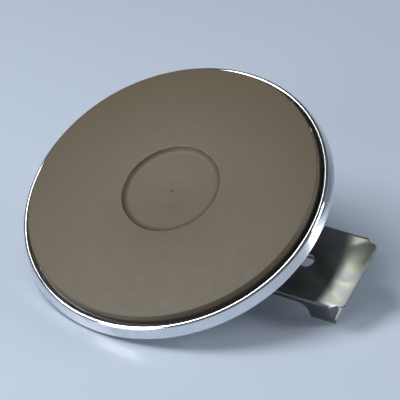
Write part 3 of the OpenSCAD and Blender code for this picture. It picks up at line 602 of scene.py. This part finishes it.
def turned_tree():
    """Geometry nodes that turn a section round the vertical axis."""
    tree, net, entry, leave = new_group(
        "Turned section",
        "GeometryNodeTree",
        [
            ("Section", "NodeSocketGeometry", None),
            ("Segments", "NodeSocketInt", 360),
            ("Closed", "NodeSocketInt", 1),
            ("Crease", "NodeSocketFloat", math.radians(28)),
            ("Material", "NodeSocketMaterial", None),
        ],
        [("Geometry", "NodeSocketGeometry")],
    )
    corners = net.add("GeometryNodeAttributeDomainSize", {"Geometry": entry["Section"]}).outputs["Point Count"]
    columns = net.math("ADD", corners, entry["Closed"])
    rows = net.math("ADD", entry["Segments"], 1.0)
    grid = net.add("GeometryNodeMeshGrid", {"Size X": 1.0, "Size Y": 1.0, "Vertices X": columns, "Vertices Y": rows})
    place = net.add("GeometryNodeInputPosition").outputs[0]
    axes = net.add("ShaderNodeSeparateXYZ", {0: place}).outputs
    along = net.math("MULTIPLY", net.math("ADD", axes[0], 0.5), net.math("SUBTRACT", columns, 1.0))
    index = net.math("MODULO", net.math("ROUND", along), corners)
    section = net.add(
        "GeometryNodeSampleIndex",
        {"Geometry": entry["Section"], "Index": index},
        data_type="FLOAT_VECTOR",
    )
    net.tree.links.new(place, section.inputs["Value"])
    corner = net.add("ShaderNodeSeparateXYZ", {0: section.outputs[0]}).outputs
    turn = net.math("MULTIPLY", net.math("ADD", axes[1], 0.5), 2 * math.pi)
    put = net.add(
        "ShaderNodeCombineXYZ",
        {
            0: net.math("MULTIPLY", corner[0], net.math("COSINE", turn)),
            1: net.math("MULTIPLY", corner[0], net.math("SINE", turn)),
            2: corner[2],
        },
    ).outputs[0]
    finish_surface(net, entry, leave, grid.outputs["Mesh"], put)
    return tree


def finish_surface(net, entry, leave, mesh, put):
    """Last nodes of a tree: places the grid, joins its seam, creases, realises and gives the material."""
    placed = net.add("GeometryNodeSetPosition", {"Geometry": mesh, "Position": put})
    joined = net.add("GeometryNodeMergeByDistance", {"Geometry": placed.outputs[0], "Distance": 0.0005 * MM})
    smooth = net.add("GeometryNodeSetShadeSmooth", {"Geometry": joined.outputs[0]})
    bend = net.add("GeometryNodeInputMeshEdgeAngle").outputs["Unsigned Angle"]
    sharp = net.math("GREATER_THAN", bend, entry["Crease"])
    creased = net.add(
        "GeometryNodeSetShadeSmooth",
        {"Geometry": smooth.outputs[0], "Selection": sharp, "Shade Smooth": False},
        domain="EDGE",
    )
    real = net.add("GeometryNodeRealizeInstances", {"Geometry": creased.outputs[0]})
    done = net.add("GeometryNodeSetMaterial", {"Geometry": real.outputs[0], "Material": entry["Material"]})
    net.tree.links.new(done.outputs[0], leave["Geometry"])


TREES = {}


def grown_mesh(maker, source, values):
    """The mesh that a geometry tree grows from a source mesh, with its inputs set by their identifiers."""
    if maker.__name__ not in TREES:
        TREES[maker.__name__] = maker()
    tree = TREES[maker.__name__]
    made = scene_object("growing", source)
    modifier = made.modifiers.new(tree.name, "NODES")
    modifier.node_group = tree
    names = {item.name: item.identifier for item in tree.interface.items_tree if item.in_out == "INPUT"}
    for label, value in values.items():
        modifier[names[label]] = value
    mesh = frozen_mesh(made)
    if not mesh.polygons:
        raise RuntimeError(f"{tree.name} gave no faces")
    return mesh


def turned_mesh(context, points, closed, material):
    """A section turned round the vertical axis."""
    values = {
        "Segments": context.scene.hotplate_sizes.round_segments,
        "Closed": int(closed),
        "Crease": math.radians(28),
        "Material": material,
    }
    mesh = grown_mesh(turned_tree, outline_mesh(points, closed), values)
    face_outwards(mesh)
    return mesh


# Sections, as radius and height


def curve_points(start, first, second, end, steps):
    """A cubic curve from start to end with two handles."""
    points = []
    for i in range(steps + 1):
        t = i / steps
        s = 1 - t
        points.append(tuple(
            s**3 * a + 3 * s * s * t * b + 3 * s * t * t * c + t**3 * d
            for a, b, c, d in zip(start, first, second, end)
        ))
    return points


def arc_points(middle, radius, start, end, steps):
    """Points of an arc, with its angles in degrees."""
    turns = [math.radians(start + (end - start) * i / steps) for i in range(steps + 1)]
    return [(middle[0] + radius * math.cos(a), middle[1] + radius * math.sin(a)) for a in turns]


def moved_path(path, distance):
    """A path moved to its left."""
    moved = []
    for i, point in enumerate(path):
        before = Vector(path[max(i, 1)]) - Vector(path[max(i, 1) - 1])
        after = Vector(path[min(i, len(path) - 2) + 1]) - Vector(path[min(i, len(path) - 2)])
        left = Vector((-before.y, before.x)).normalized()
        along = (left + Vector((-after.y, after.x)).normalized()).normalized()
        moved.append(tuple(Vector(point) + along * distance / along.dot(left)))
    return moved


def rim_section(sizes):
    """The rim's closed outline: flange, inner slope, rolled crest, outer wall and foot, with a soft foot."""
    roll = (sizes.rim_radius - sizes.crest_inset, sizes.crest_height - sizes.crest_roll)
    inner = sizes.plate_radius - sizes.shoulder_width + sizes.rim_gap
    turn = sizes.plate_radius + sizes.rim_gap
    low = sizes.shoulder_height
    flare = math.degrees(math.atan2(sizes.rim_radius - roll[0] - sizes.crest_roll, roll[1] - sizes.foot_band))
    top = (roll[0], sizes.crest_height)
    path = [(inner, low)]
    path += curve_points((turn, low), (turn + 0.8 * MM, low), (roll[0] - 1.4 * MM, top[1]), top, 20)
    path += arc_points(roll, sizes.crest_roll, 84, flare, 18)
    path += arc_points((sizes.rim_radius - 1.2 * MM, sizes.foot_band), 1.2 * MM, flare, 0, 4)
    path += [(sizes.rim_radius, 0.12 * MM), (sizes.rim_radius - 0.04 * MM, 0.03 * MM), (sizes.rim_radius - 0.12 * MM, 0)]
    inside = moved_path(path[:-3] + [(sizes.rim_radius, 0.0)], -sizes.rim_sheet)
    return path + [(inside[-1][0] + 0.1 * MM, 0.0)] + list(reversed(inside))


def plate_section(sizes):
    """The casting's half section from the tapped hole round to the middle of the face."""
    casting = sizes.plate_radius - sizes.shoulder_width
    top = sizes.face_height
    wall = sizes.dish_depth - sizes.dish_cone
    edge = sizes.chamfer
    points = [
        (0.0, sizes.boss_bottom + sizes.tapped_depth),
        (sizes.tapped_radius, sizes.boss_bottom + sizes.tapped_depth),
        (sizes.tapped_radius, sizes.boss_bottom),
        (sizes.boss_radius - 0.4 * MM, sizes.boss_bottom),
        (sizes.boss_radius, sizes.boss_bottom + 0.4 * MM),
        (sizes.boss_radius, sizes.casting_bottom),
    ]
    for i in range(4, -1, -1):
        middle = sizes.outer_groove - i * sizes.groove_pitch
        near, far = middle - sizes.groove_width / 2, middle + sizes.groove_width / 2
        points += [(near, sizes.casting_bottom), (near, sizes.groove_roof)]
        points += [(far, sizes.groove_roof), (far, sizes.casting_bottom)]
    points += [
        (casting - 0.3 * MM, sizes.casting_bottom),
        (casting, sizes.casting_bottom + 0.3 * MM),
        (casting, sizes.shoulder_height),
        (sizes.plate_radius, sizes.shoulder_height),
    ]
    points += curve_points(
        (sizes.plate_radius, top - edge),
        (sizes.plate_radius - 0.02 * MM, top - edge * 0.45),
        (sizes.plate_radius - edge * 0.5, top - 0.02 * MM),
        (sizes.plate_radius - edge, top),
        8,
    )
    points += [(sizes.dish_radius + 0.5 * MM, top)]
    points += curve_points(
        (sizes.dish_radius, top - 0.04 * MM),
        (sizes.dish_radius - sizes.dish_wall / 6, top - 0.7 * wall),
        (sizes.dish_radius - sizes.dish_wall / 2, top - wall),
        (sizes.dish_radius - sizes.dish_wall, top - wall),
        24,
    )
    bottom = top - sizes.dish_depth
    points += [
        (sizes.dish_flat + 0.3 * MM, bottom + 0.02 * MM),
        (sizes.dish_flat - 0.3 * MM, bottom),
        (sizes.mark_radius, bottom),
        (sizes.mark_radius / 3, bottom - sizes.mark_depth),
        (0.0, bottom - sizes.mark_depth),
    ]
    return points


def crossing_cutter(sizes):
    """The two radial slots in which a coil changes groove, as a mesh of boxes."""
    work = bmesh.new()
    tall = sizes.groove_roof - sizes.casting_bottom + 1 * MM
    for from_outside, side in ((3, -1), (1, 1)):
        near = sizes.outer_groove - from_outside * sizes.groove_pitch
        box = Matrix.Diagonal((sizes.groove_pitch, sizes.groove_width, tall, 1))
        put = Matrix.Translation((near + sizes.groove_pitch / 2, 0, sizes.groove_roof - tall / 2))
        turn = Matrix.Rotation(side * sizes.crossing_angle, 4, "Z")
        bmesh.ops.create_cube(work, size=1, matrix=turn @ put @ box)
    mesh = bpy.data.meshes.new("crossings")
    work.to_mesh(mesh)
    work.free()
    return mesh


# Threads and windings


def threaded_tree():
    """Geometry nodes that grow a threaded rod with chamfered, closed ends."""
    tree, net, entry, leave = new_group(
        "Threaded rod",
        "GeometryNodeTree",
        [
            ("Source", "NodeSocketGeometry", None),
            ("Radius", "NodeSocketFloat", 3 * MM),
            ("Depth", "NodeSocketFloat", 0.5 * MM),
            ("Pitch", "NodeSocketFloat", 1 * MM),
            ("Bottom", "NodeSocketFloat", -30 * MM),
            ("Top", "NodeSocketFloat", 0.0),
            ("Chamfer", "NodeSocketFloat", 0.7 * MM),
            ("Around", "NodeSocketInt", 32),
            ("Rows", "NodeSocketInt", 300),
            ("Crease", "NodeSocketFloat", math.radians(50)),
            ("Material", "NodeSocketMaterial", None),
        ],
        [("Geometry", "NodeSocketGeometry")],
    )
    rows = net.math("ADD", entry["Around"], 1.0)
    grid = net.add("GeometryNodeMeshGrid", {"Size X": 1.0, "Size Y": 1.0, "Vertices X": entry["Rows"], "Vertices Y": rows})
    place = net.add("GeometryNodeInputPosition").outputs[0]
    axes = net.add("ShaderNodeSeparateXYZ", {0: place}).outputs
    last = net.math("SUBTRACT", entry["Rows"], 1.0)
    row = net.math("ROUND", net.math("MULTIPLY", net.math("ADD", axes[0], 0.5), last))
    inner = net.math("SUBTRACT", entry["Rows"], 3.0)
    share = net.math("DIVIDE", net.math("SUBTRACT", row, 1.0), inner, clamp=True)
    height = net.math("MULTIPLY_ADD", share, net.math("SUBTRACT", entry["Top"], entry["Bottom"]), entry["Bottom"])
    turn = net.math("ADD", axes[1], 0.5)
    phase = net.math("FRACT", net.math("SUBTRACT", net.math("DIVIDE", height, entry["Pitch"]), turn))
    wave = net.math("ABSOLUTE", net.math("MULTIPLY_ADD", phase, 2.0, -1.0))
    flank = net.math("MULTIPLY", net.math("SUBTRACT", 1.0, net.spread(wave, 0.12, 0.8)), entry["Depth"])
    thread = net.math("SUBTRACT", entry["Radius"], flank)
    ends = net.math("MINIMUM", net.math("SUBTRACT", height, entry["Bottom"]), net.math("SUBTRACT", entry["Top"], height))
    point = net.math("ADD", net.math("SUBTRACT", entry["Radius"], entry["Chamfer"]), ends)
    closed = net.math("MULTIPLY", net.math("GREATER_THAN", row, 0.5),
                      net.math("LESS_THAN", row, net.math("SUBTRACT", last, 0.5)))
    radius = net.math("MULTIPLY", net.math("MINIMUM", thread, point), closed)
    angle = net.math("MULTIPLY", turn, 2 * math.pi)
    put = net.add(
        "ShaderNodeCombineXYZ",
        {
            0: net.math("MULTIPLY", radius, net.math("COSINE", angle)),
            1: net.math("MULTIPLY", radius, net.math("SINE", angle)),
            2: height,
        },
    ).outputs[0]
    finish_surface(net, entry, leave, grid.outputs["Mesh"], put)
    return tree


def wound_tree():
    """Geometry nodes that wind a wire round a path."""
    tree, net, entry, leave = new_group(
        "Wound coil",
        "GeometryNodeTree",
        [
            ("Path", "NodeSocketGeometry", None),
            ("Coil Radius", "NodeSocketFloat", 1.8 * MM),
            ("Wire Radius", "NodeSocketFloat", 0.2 * MM),
            ("Pitch", "NodeSocketFloat", 1.5 * MM),
            ("Steps a Turn", "NodeSocketInt", 10),
            ("Material", "NodeSocketMaterial", None),
        ],
        [("Geometry", "NodeSocketGeometry")],
    )
    path = net.add("GeometryNodeMeshToCurve", {"Mesh": entry["Path"]}).outputs[0]
    step = net.math("DIVIDE", entry["Pitch"], entry["Steps a Turn"])
    fine = net.add("GeometryNodeResampleCurve", {"Curve": path, "Length": step}, mode="LENGTH").outputs[0]
    walked = net.add("GeometryNodeSplineParameter").outputs["Length"]
    angle = net.math("MULTIPLY", net.math("DIVIDE", walked, entry["Pitch"]), 2 * math.pi)
    tangent = net.add("GeometryNodeInputTangent").outputs[0]
    across = net.add("ShaderNodeVectorMath", {0: tangent, 1: (0.0, 0.0, 1.0)}, operation="CROSS_PRODUCT").outputs[0]
    level = net.math("MULTIPLY", net.math("COSINE", angle), entry["Coil Radius"])
    upward = net.math("MULTIPLY", net.math("SINE", angle), entry["Coil Radius"])
    aside = net.add("ShaderNodeVectorMath", {0: across, "Scale": level}, operation="SCALE").outputs[0]
    lift = net.add("ShaderNodeCombineXYZ", {2: upward}).outputs[0]
    offset = net.add("ShaderNodeVectorMath", {0: aside, 1: lift}, operation="ADD").outputs[0]
    wound = net.add("GeometryNodeSetPosition", {"Geometry": fine, "Offset": offset}).outputs[0]
    ring = net.add("GeometryNodeCurvePrimitiveCircle", {"Resolution": 6, "Radius": entry["Wire Radius"]}).outputs[0]
    swept = net.add("GeometryNodeCurveToMesh", {"Curve": wound, "Profile Curve": ring, "Fill Caps": True}).outputs[0]
    smooth = net.add("GeometryNodeSetShadeSmooth", {"Geometry": swept}).outputs[0]
    real = net.add("GeometryNodeRealizeInstances", {"Geometry": smooth}).outputs[0]
    done = net.add("GeometryNodeSetMaterial", {"Geometry": real, "Material": entry["Material"]})
    tree.links.new(done.outputs[0], leave["Geometry"])
    return tree


def ring_stretch(sizes, from_outside, start, end, height):
    """Points along one groove between two angles in degrees."""
    radius = sizes.outer_groove - from_outside * sizes.groove_pitch
    steps = max(2, round(abs(end - start) / 3))
    return [(x, y, height) for x, y in arc_points((0.0, 0.0), radius, start, end, steps)]


def lead_angle(sizes, from_outside, pole):
    """Angle in degrees at which a groove meets the line of a lead."""
    radius = sizes.outer_groove - from_outside * sizes.groove_pitch
    return math.degrees(math.asin((pole - 2.5) * 9 * MM / radius))


def coil_paths(sizes):
    """The middle line of each coil, from one lead to the other."""
    height = sizes.groove_roof - sizes.groove_width / 2
    cross = math.degrees(sizes.crossing_angle)
    inner = ring_stretch(sizes, 4, lead_angle(sizes, 4, 3), 360 + lead_angle(sizes, 4, 2), height)
    middle = ring_stretch(sizes, 2, lead_angle(sizes, 2, 4), 360 - cross, height)
    middle += ring_stretch(sizes, 3, 360 - cross, lead_angle(sizes, 3, 2), height)
    outer = ring_stretch(sizes, 1, 360 + lead_angle(sizes, 1, 4), cross, height)
    outer += ring_stretch(sizes, 0, cross, 360 + lead_angle(sizes, 0, 1), height)
    return {"inner_coil": inner, "middle_coil": middle, "outer_coil": outer}


# Operators, one for each piece or group of like pieces


class HOTPLATE_OT_cooking_plate(bpy.types.Operator):
    """Turn the cast plate with its dish, chamfer and coil grooves"""

    bl_idname = "hotplate.cooking_plate"
    bl_label = "Cooking plate"

    def execute(self, context):
        sizes = context.scene.hotplate_sizes
        material = finish_for(context, film_finish)
        made = scene_object("casting", turned_mesh(context, plate_section(sizes), False, material))
        cutter = scene_object("crossings", crossing_cutter(sizes))
        cut = made.modifiers.new("Crossings", "BOOLEAN")
        cut.operation = "DIFFERENCE"
        cut.solver = "EXACT"
        cut.object = cutter
        mesh = frozen_mesh(made)
        bpy.data.objects.remove(cutter)
        shade_by_angle(mesh, 28)
        add_piece("plate_casting", mesh, material, ["cooking_plate"])
        return {"FINISHED"}


class HOTPLATE_OT_overflow_rim(bpy.types.Operator):
    """Turn the polished overflow rim"""

    bl_idname = "hotplate.overflow_rim"
    bl_label = "Overflow rim"

    def execute(self, context):
        material = finish_for(context, polished_finish)
        mesh = turned_mesh(context, rim_section(context.scene.hotplate_sizes), True, material)
        add_piece("rim_polished", mesh, material, ["overflow_rim"])
        return {"FINISHED"}


class HOTPLATE_OT_bottom_cover(bpy.types.Operator):
    """Dress the pressed bottom cover"""

    bl_idname = "hotplate.bottom_cover"
    bl_label = "Bottom cover"

    def execute(self, context):
        softened_piece("cover_pressing", ["bottom_cover"], cover_finish, context)
        return {"FINISHED"}


class HOTPLATE_OT_heating(bpy.types.Operator):
    """Wind the heating coils and give their filling its finish"""

    bl_idname = "hotplate.heating"
    bl_label = "Coils and filling"

    def execute(self, context):
        sizes = context.scene.hotplate_sizes
        material = finish_for(context, resistance_finish)
        for node, path in coil_paths(sizes).items():
            source = bpy.data.meshes.new("coil path")
            source.from_pydata(path, [(i, i + 1) for i in range(len(path) - 1)], [])
            values = {
                "Coil Radius": sizes.coil_radius,
                "Wire Radius": sizes.coil_wire,
                "Pitch": sizes.coil_pitch,
                "Steps a Turn": 10,
                "Material": material,
            }
            mesh = grown_mesh(wound_tree, source, values)
            face_outwards(mesh)
            add_piece(node.replace("_coil", "_winding"), mesh, material, [node])
        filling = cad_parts["embedding_mass"]
        filling.data.materials.clear()
        filling.data.materials.append(finish_for(context, filling_finish))
        return {"FINISHED"}


class HOTPLATE_OT_stud(bpy.types.Operator):
    """Cut the centre stud's thread and dress its washer, nut and the rivets"""

    bl_idname = "hotplate.stud"
    bl_label = "Stud and rivets"

    def execute(self, context):
        sizes = context.scene.hotplate_sizes
        material = finish_for(context, fixing_finish)
        turns = (STUD_HIGH.z - STUD_LOW.z) / sizes.stud_pitch
        values = {
            "Radius": STUD_HIGH.x,
            "Depth": sizes.stud_thread,
            "Pitch": sizes.stud_pitch,
            "Bottom": STUD_LOW.z,
            "Top": STUD_HIGH.z,
            "Chamfer": STUD_HIGH.x / 4,
            "Around": 40,
            "Rows": round(turns * 10) + 3,
            "Crease": math.radians(50),
            "Material": material,
        }
        mesh = grown_mesh(threaded_tree, bpy.data.meshes.new("stud"), values)
        face_outwards(mesh)
        add_piece("stud_threaded", mesh, material, ["centre_stud"])
        for name, node in (("washer_under_stud_nut", "stud_washer"), ("nut_on_stud", "stud_nut"), ("rivet_pair", "bracket_rivets")):
            softened_piece(name, [node], fixing_finish, context)
        return {"FINISHED"}


class HOTPLATE_OT_bracket(bpy.types.Operator):
    """Dress the folded terminal bracket"""

    bl_idname = "hotplate.bracket"
    bl_label = "Terminal bracket"

    def execute(self, context):
        softened_piece("bracket_folded", ["terminal_bracket"], bracket_finish, context)
        return {"FINISHED"}


class HOTPLATE_OT_terminals(bpy.types.Operator):
    """Dress the ceramic block, the clamps with their screws, the bushes and the leads"""

    bl_idname = "hotplate.terminals"
    bl_label = "Terminals and leads"

    def execute(self, context):
        softened_piece("block_ceramic", ["terminal_block"], ceramic_finish, context, 0.25 * MM)
        for i in range(1, 5):
            softened_piece(f"clamp_brass_{i}", [f"terminal_clamp_{i}"], brass_finish, context)
            softened_piece(f"bush_ceramic_{i}", [f"lead_bush_{i}"], ceramic_finish, context)
            softened_piece(f"lead_nickel_{i}", [f"lead_wire_{i}"], nickel_finish, context, 0.05 * MM)
        softened_piece("screws_on_leads", ["lead_screws"], fixing_finish, context)
        softened_piece("screws_on_supply", ["supply_screws"], fixing_finish, context)
        return {"FINISHED"}


class HOTPLATE_OT_earth(bpy.types.Operator):
    """Dress the earth screw, its washer and its nut"""

    bl_idname = "hotplate.earth"
    bl_label = "Earth terminal"

    def execute(self, context):
        for name, node in (("screw_for_earth", "earth_screw"), ("washer_for_earth", "earth_washer"), ("nut_for_earth", "earth_nut")):
            softened_piece(name, [node], fixing_finish, context)
        return {"FINISHED"}


# The stage: floor, surroundings, lights and camera

FLOOR_NORMAL = Vector((0.039, 0.468, 0.883)).normalized()
CAMERA_PLACE = Vector((0.5029, -0.4009, 0.7720))
CAMERA_RIGHT = Vector((0.8354, 0.4694, -0.2859))
CAMERA_UP = Vector((-0.2466, 0.7849, 0.5684))
CAMERA_BACK = Vector((0.4912, -0.4043, 0.7715))


def floor_drop():
    """Distance from the origin down to the floor, along its normal, where the lowest corner touches it."""
    lowest = 0.0
    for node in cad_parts.values():
        for corner in node.data.vertices:
            lowest = min(lowest, corner.co.dot(FLOOR_NORMAL))
    return -lowest


def floor_material(tint):
    """A pale, lightly glossy floor that can't be seen from below."""
    material, net, sockets = new_finish("pale_floor", 0.0, Roughness=0.28, Specular_IOR_Level=0.5)
    sockets["Base Color"].default_value = opaque(tint)
    shader = net.tree.nodes["Principled BSDF"].outputs[0]
    back = net.add("ShaderNodeNewGeometry").outputs["Backfacing"]
    clear = net.add("ShaderNodeBsdfTransparent").outputs[0]
    both = net.add("ShaderNodeMixShader", {0: back, 1: shader, 2: clear}).outputs[0]
    net.tree.links.new(both, net.tree.nodes["Material Output"].inputs["Surface"])
    return material


def make_floor(stage):
    """A large plane that the object rests on."""
    half = 12.0
    turn = FLOOR_NORMAL.to_track_quat("Z", "Y").to_matrix().to_4x4()
    put = Matrix.Translation(-FLOOR_NORMAL * floor_drop()) @ turn
    mesh = bpy.data.meshes.new("floor")
    corners = [put @ Vector((x * half, y * half, 0)) for x, y in ((-1, -1), (1, -1), (1, 1), (-1, 1))]
    mesh.from_pydata(corners, [], [(0, 1, 2, 3)])
    mesh.materials.append(floor_material(stage.floor))
    scene_object("floor", mesh)


def make_surroundings(stage):
    """Soft surroundings, pale at the horizon and darker overhead."""
    world = bpy.data.worlds.new("surroundings")
    bpy.context.scene.world = world
    world.use_nodes = True
    net = Net(world.node_tree)
    direction = net.add("ShaderNodeTexCoord").outputs["Generated"]
    rise = net.add("ShaderNodeVectorMath", {0: direction, 1: tuple(FLOOR_NORMAL)}, operation="DOT_PRODUCT")
    ramp = net.add("ShaderNodeValToRGB", {0: net.spread(rise.outputs["Value"], -0.2, 1.0)})
    stops = ramp.color_ramp.elements
    stops[0].position = 0.12
    stops[0].color = opaque(stage.floor)
    stops[1].position = 0.62
    stops[1].color = (0.16, 0.17, 0.19, 1)
    rays = net.add("ShaderNodeLightPath").outputs["Is Camera Ray"]
    seen = net.mix(rays, ramp.outputs[0], opaque(stage.floor))
    power = net.math("MULTIPLY_ADD", rays, 1.0 - stage.sky, stage.sky)
    back = net.tree.nodes["Background"]
    net.tree.links.new(seen, back.inputs["Color"])
    net.tree.links.new(power, back.inputs["Strength"])


def add_softbox(name, right, up, back, distance, width, height, watts):
    """A rectangular lamp in a direction from the object, given by the camera's own axes."""
    way = (CAMERA_RIGHT * right + CAMERA_UP * up + CAMERA_BACK * back).normalized()
    light = bpy.data.lights.new(name, "AREA")
    light.shape = "RECTANGLE"
    light.size = width
    light.size_y = height
    light.energy = watts
    lamp = bpy.data.objects.new(name, light)
    lamp.location = way * distance
    lamp.rotation_mode = "QUATERNION"
    lamp.rotation_quaternion = way.to_track_quat("Z", "Y")
    bpy.context.scene.collection.objects.link(lamp)


def make_camera(stage):
    """The camera at the photograph's viewing angle."""
    data = bpy.data.cameras.new("camera")
    data.sensor_width = 36
    data.lens = stage.lens
    data.clip_start = 0.05
    data.clip_end = 60
    camera = bpy.data.objects.new("camera", data)
    turn = Matrix((CAMERA_RIGHT, CAMERA_UP, CAMERA_BACK)).transposed()
    camera.matrix_world = Matrix.Translation(CAMERA_PLACE) @ turn.to_4x4()
    bpy.context.scene.collection.objects.link(camera)
    bpy.context.scene.camera = camera


class HOTPLATE_OT_stage(bpy.types.Operator):
    """Lay the floor and set the surroundings, the lamps and the camera"""

    bl_idname = "hotplate.stage"
    bl_label = "Stage"

    def execute(self, context):
        stage = context.scene.hotplate_stage
        make_floor(stage)
        make_surroundings(stage)
        add_softbox("key", -0.55, 0.75, 0.45, 1.1, 0.7, 0.5, stage.key)
        add_softbox("side", 0.95, 0.25, 0.2, 1.0, 0.3, 0.6, stage.side)
        add_softbox("low", -0.75, -0.1, 0.75, 1.0, 0.5, 0.25, stage.low)
        make_camera(stage)
        context.scene.view_settings.view_transform = "Standard"
        return {"FINISHED"}


PIECES = (
    HOTPLATE_OT_cooking_plate,
    HOTPLATE_OT_overflow_rim,
    HOTPLATE_OT_bottom_cover,
    HOTPLATE_OT_heating,
    HOTPLATE_OT_stud,
    HOTPLATE_OT_bracket,
    HOTPLATE_OT_terminals,
    HOTPLATE_OT_earth,
    HOTPLATE_OT_stage,
)


class HOTPLATE_PT_panel(bpy.types.Panel):
    """Lists what can be built"""

    bl_idname = "HOTPLATE_PT_panel"
    bl_label = "Hotplate"
    bl_space_type = "VIEW_3D"
    bl_region_type = "UI"
    bl_category = "Hotplate"

    def draw(self, context):
        for operator in PIECES:
            self.layout.operator(operator.bl_idname)
        for group in (context.scene.hotplate_sizes, context.scene.hotplate_colours, context.scene.hotplate_stage):
            column = self.layout.column()
            for name in group.__annotations__:
                column.prop(group, name)


GROUPS = {
    "hotplate_sizes": HotplateSizes,
    "hotplate_colours": HotplateColours,
    "hotplate_stage": HotplateStage,
}


def register():
    for made in (*GROUPS.values(), *PIECES, HOTPLATE_PT_panel):
        bpy.utils.register_class(made)
    for name, made in GROUPS.items():
        setattr(bpy.types.Scene, name, bpy.props.PointerProperty(type=made))


def unregister():
    for name in GROUPS:
        delattr(bpy.types.Scene, name)
    for made in (HOTPLATE_PT_panel, *reversed(PIECES), *reversed(tuple(GROUPS.values()))):
        bpy.utils.unregister_class(made)


def main():
    register()
    for operator in PIECES:
        family, name = operator.bl_idname.split(".")
        getattr(getattr(bpy.ops, family), name)()


if __name__ == "__main__":
    main()
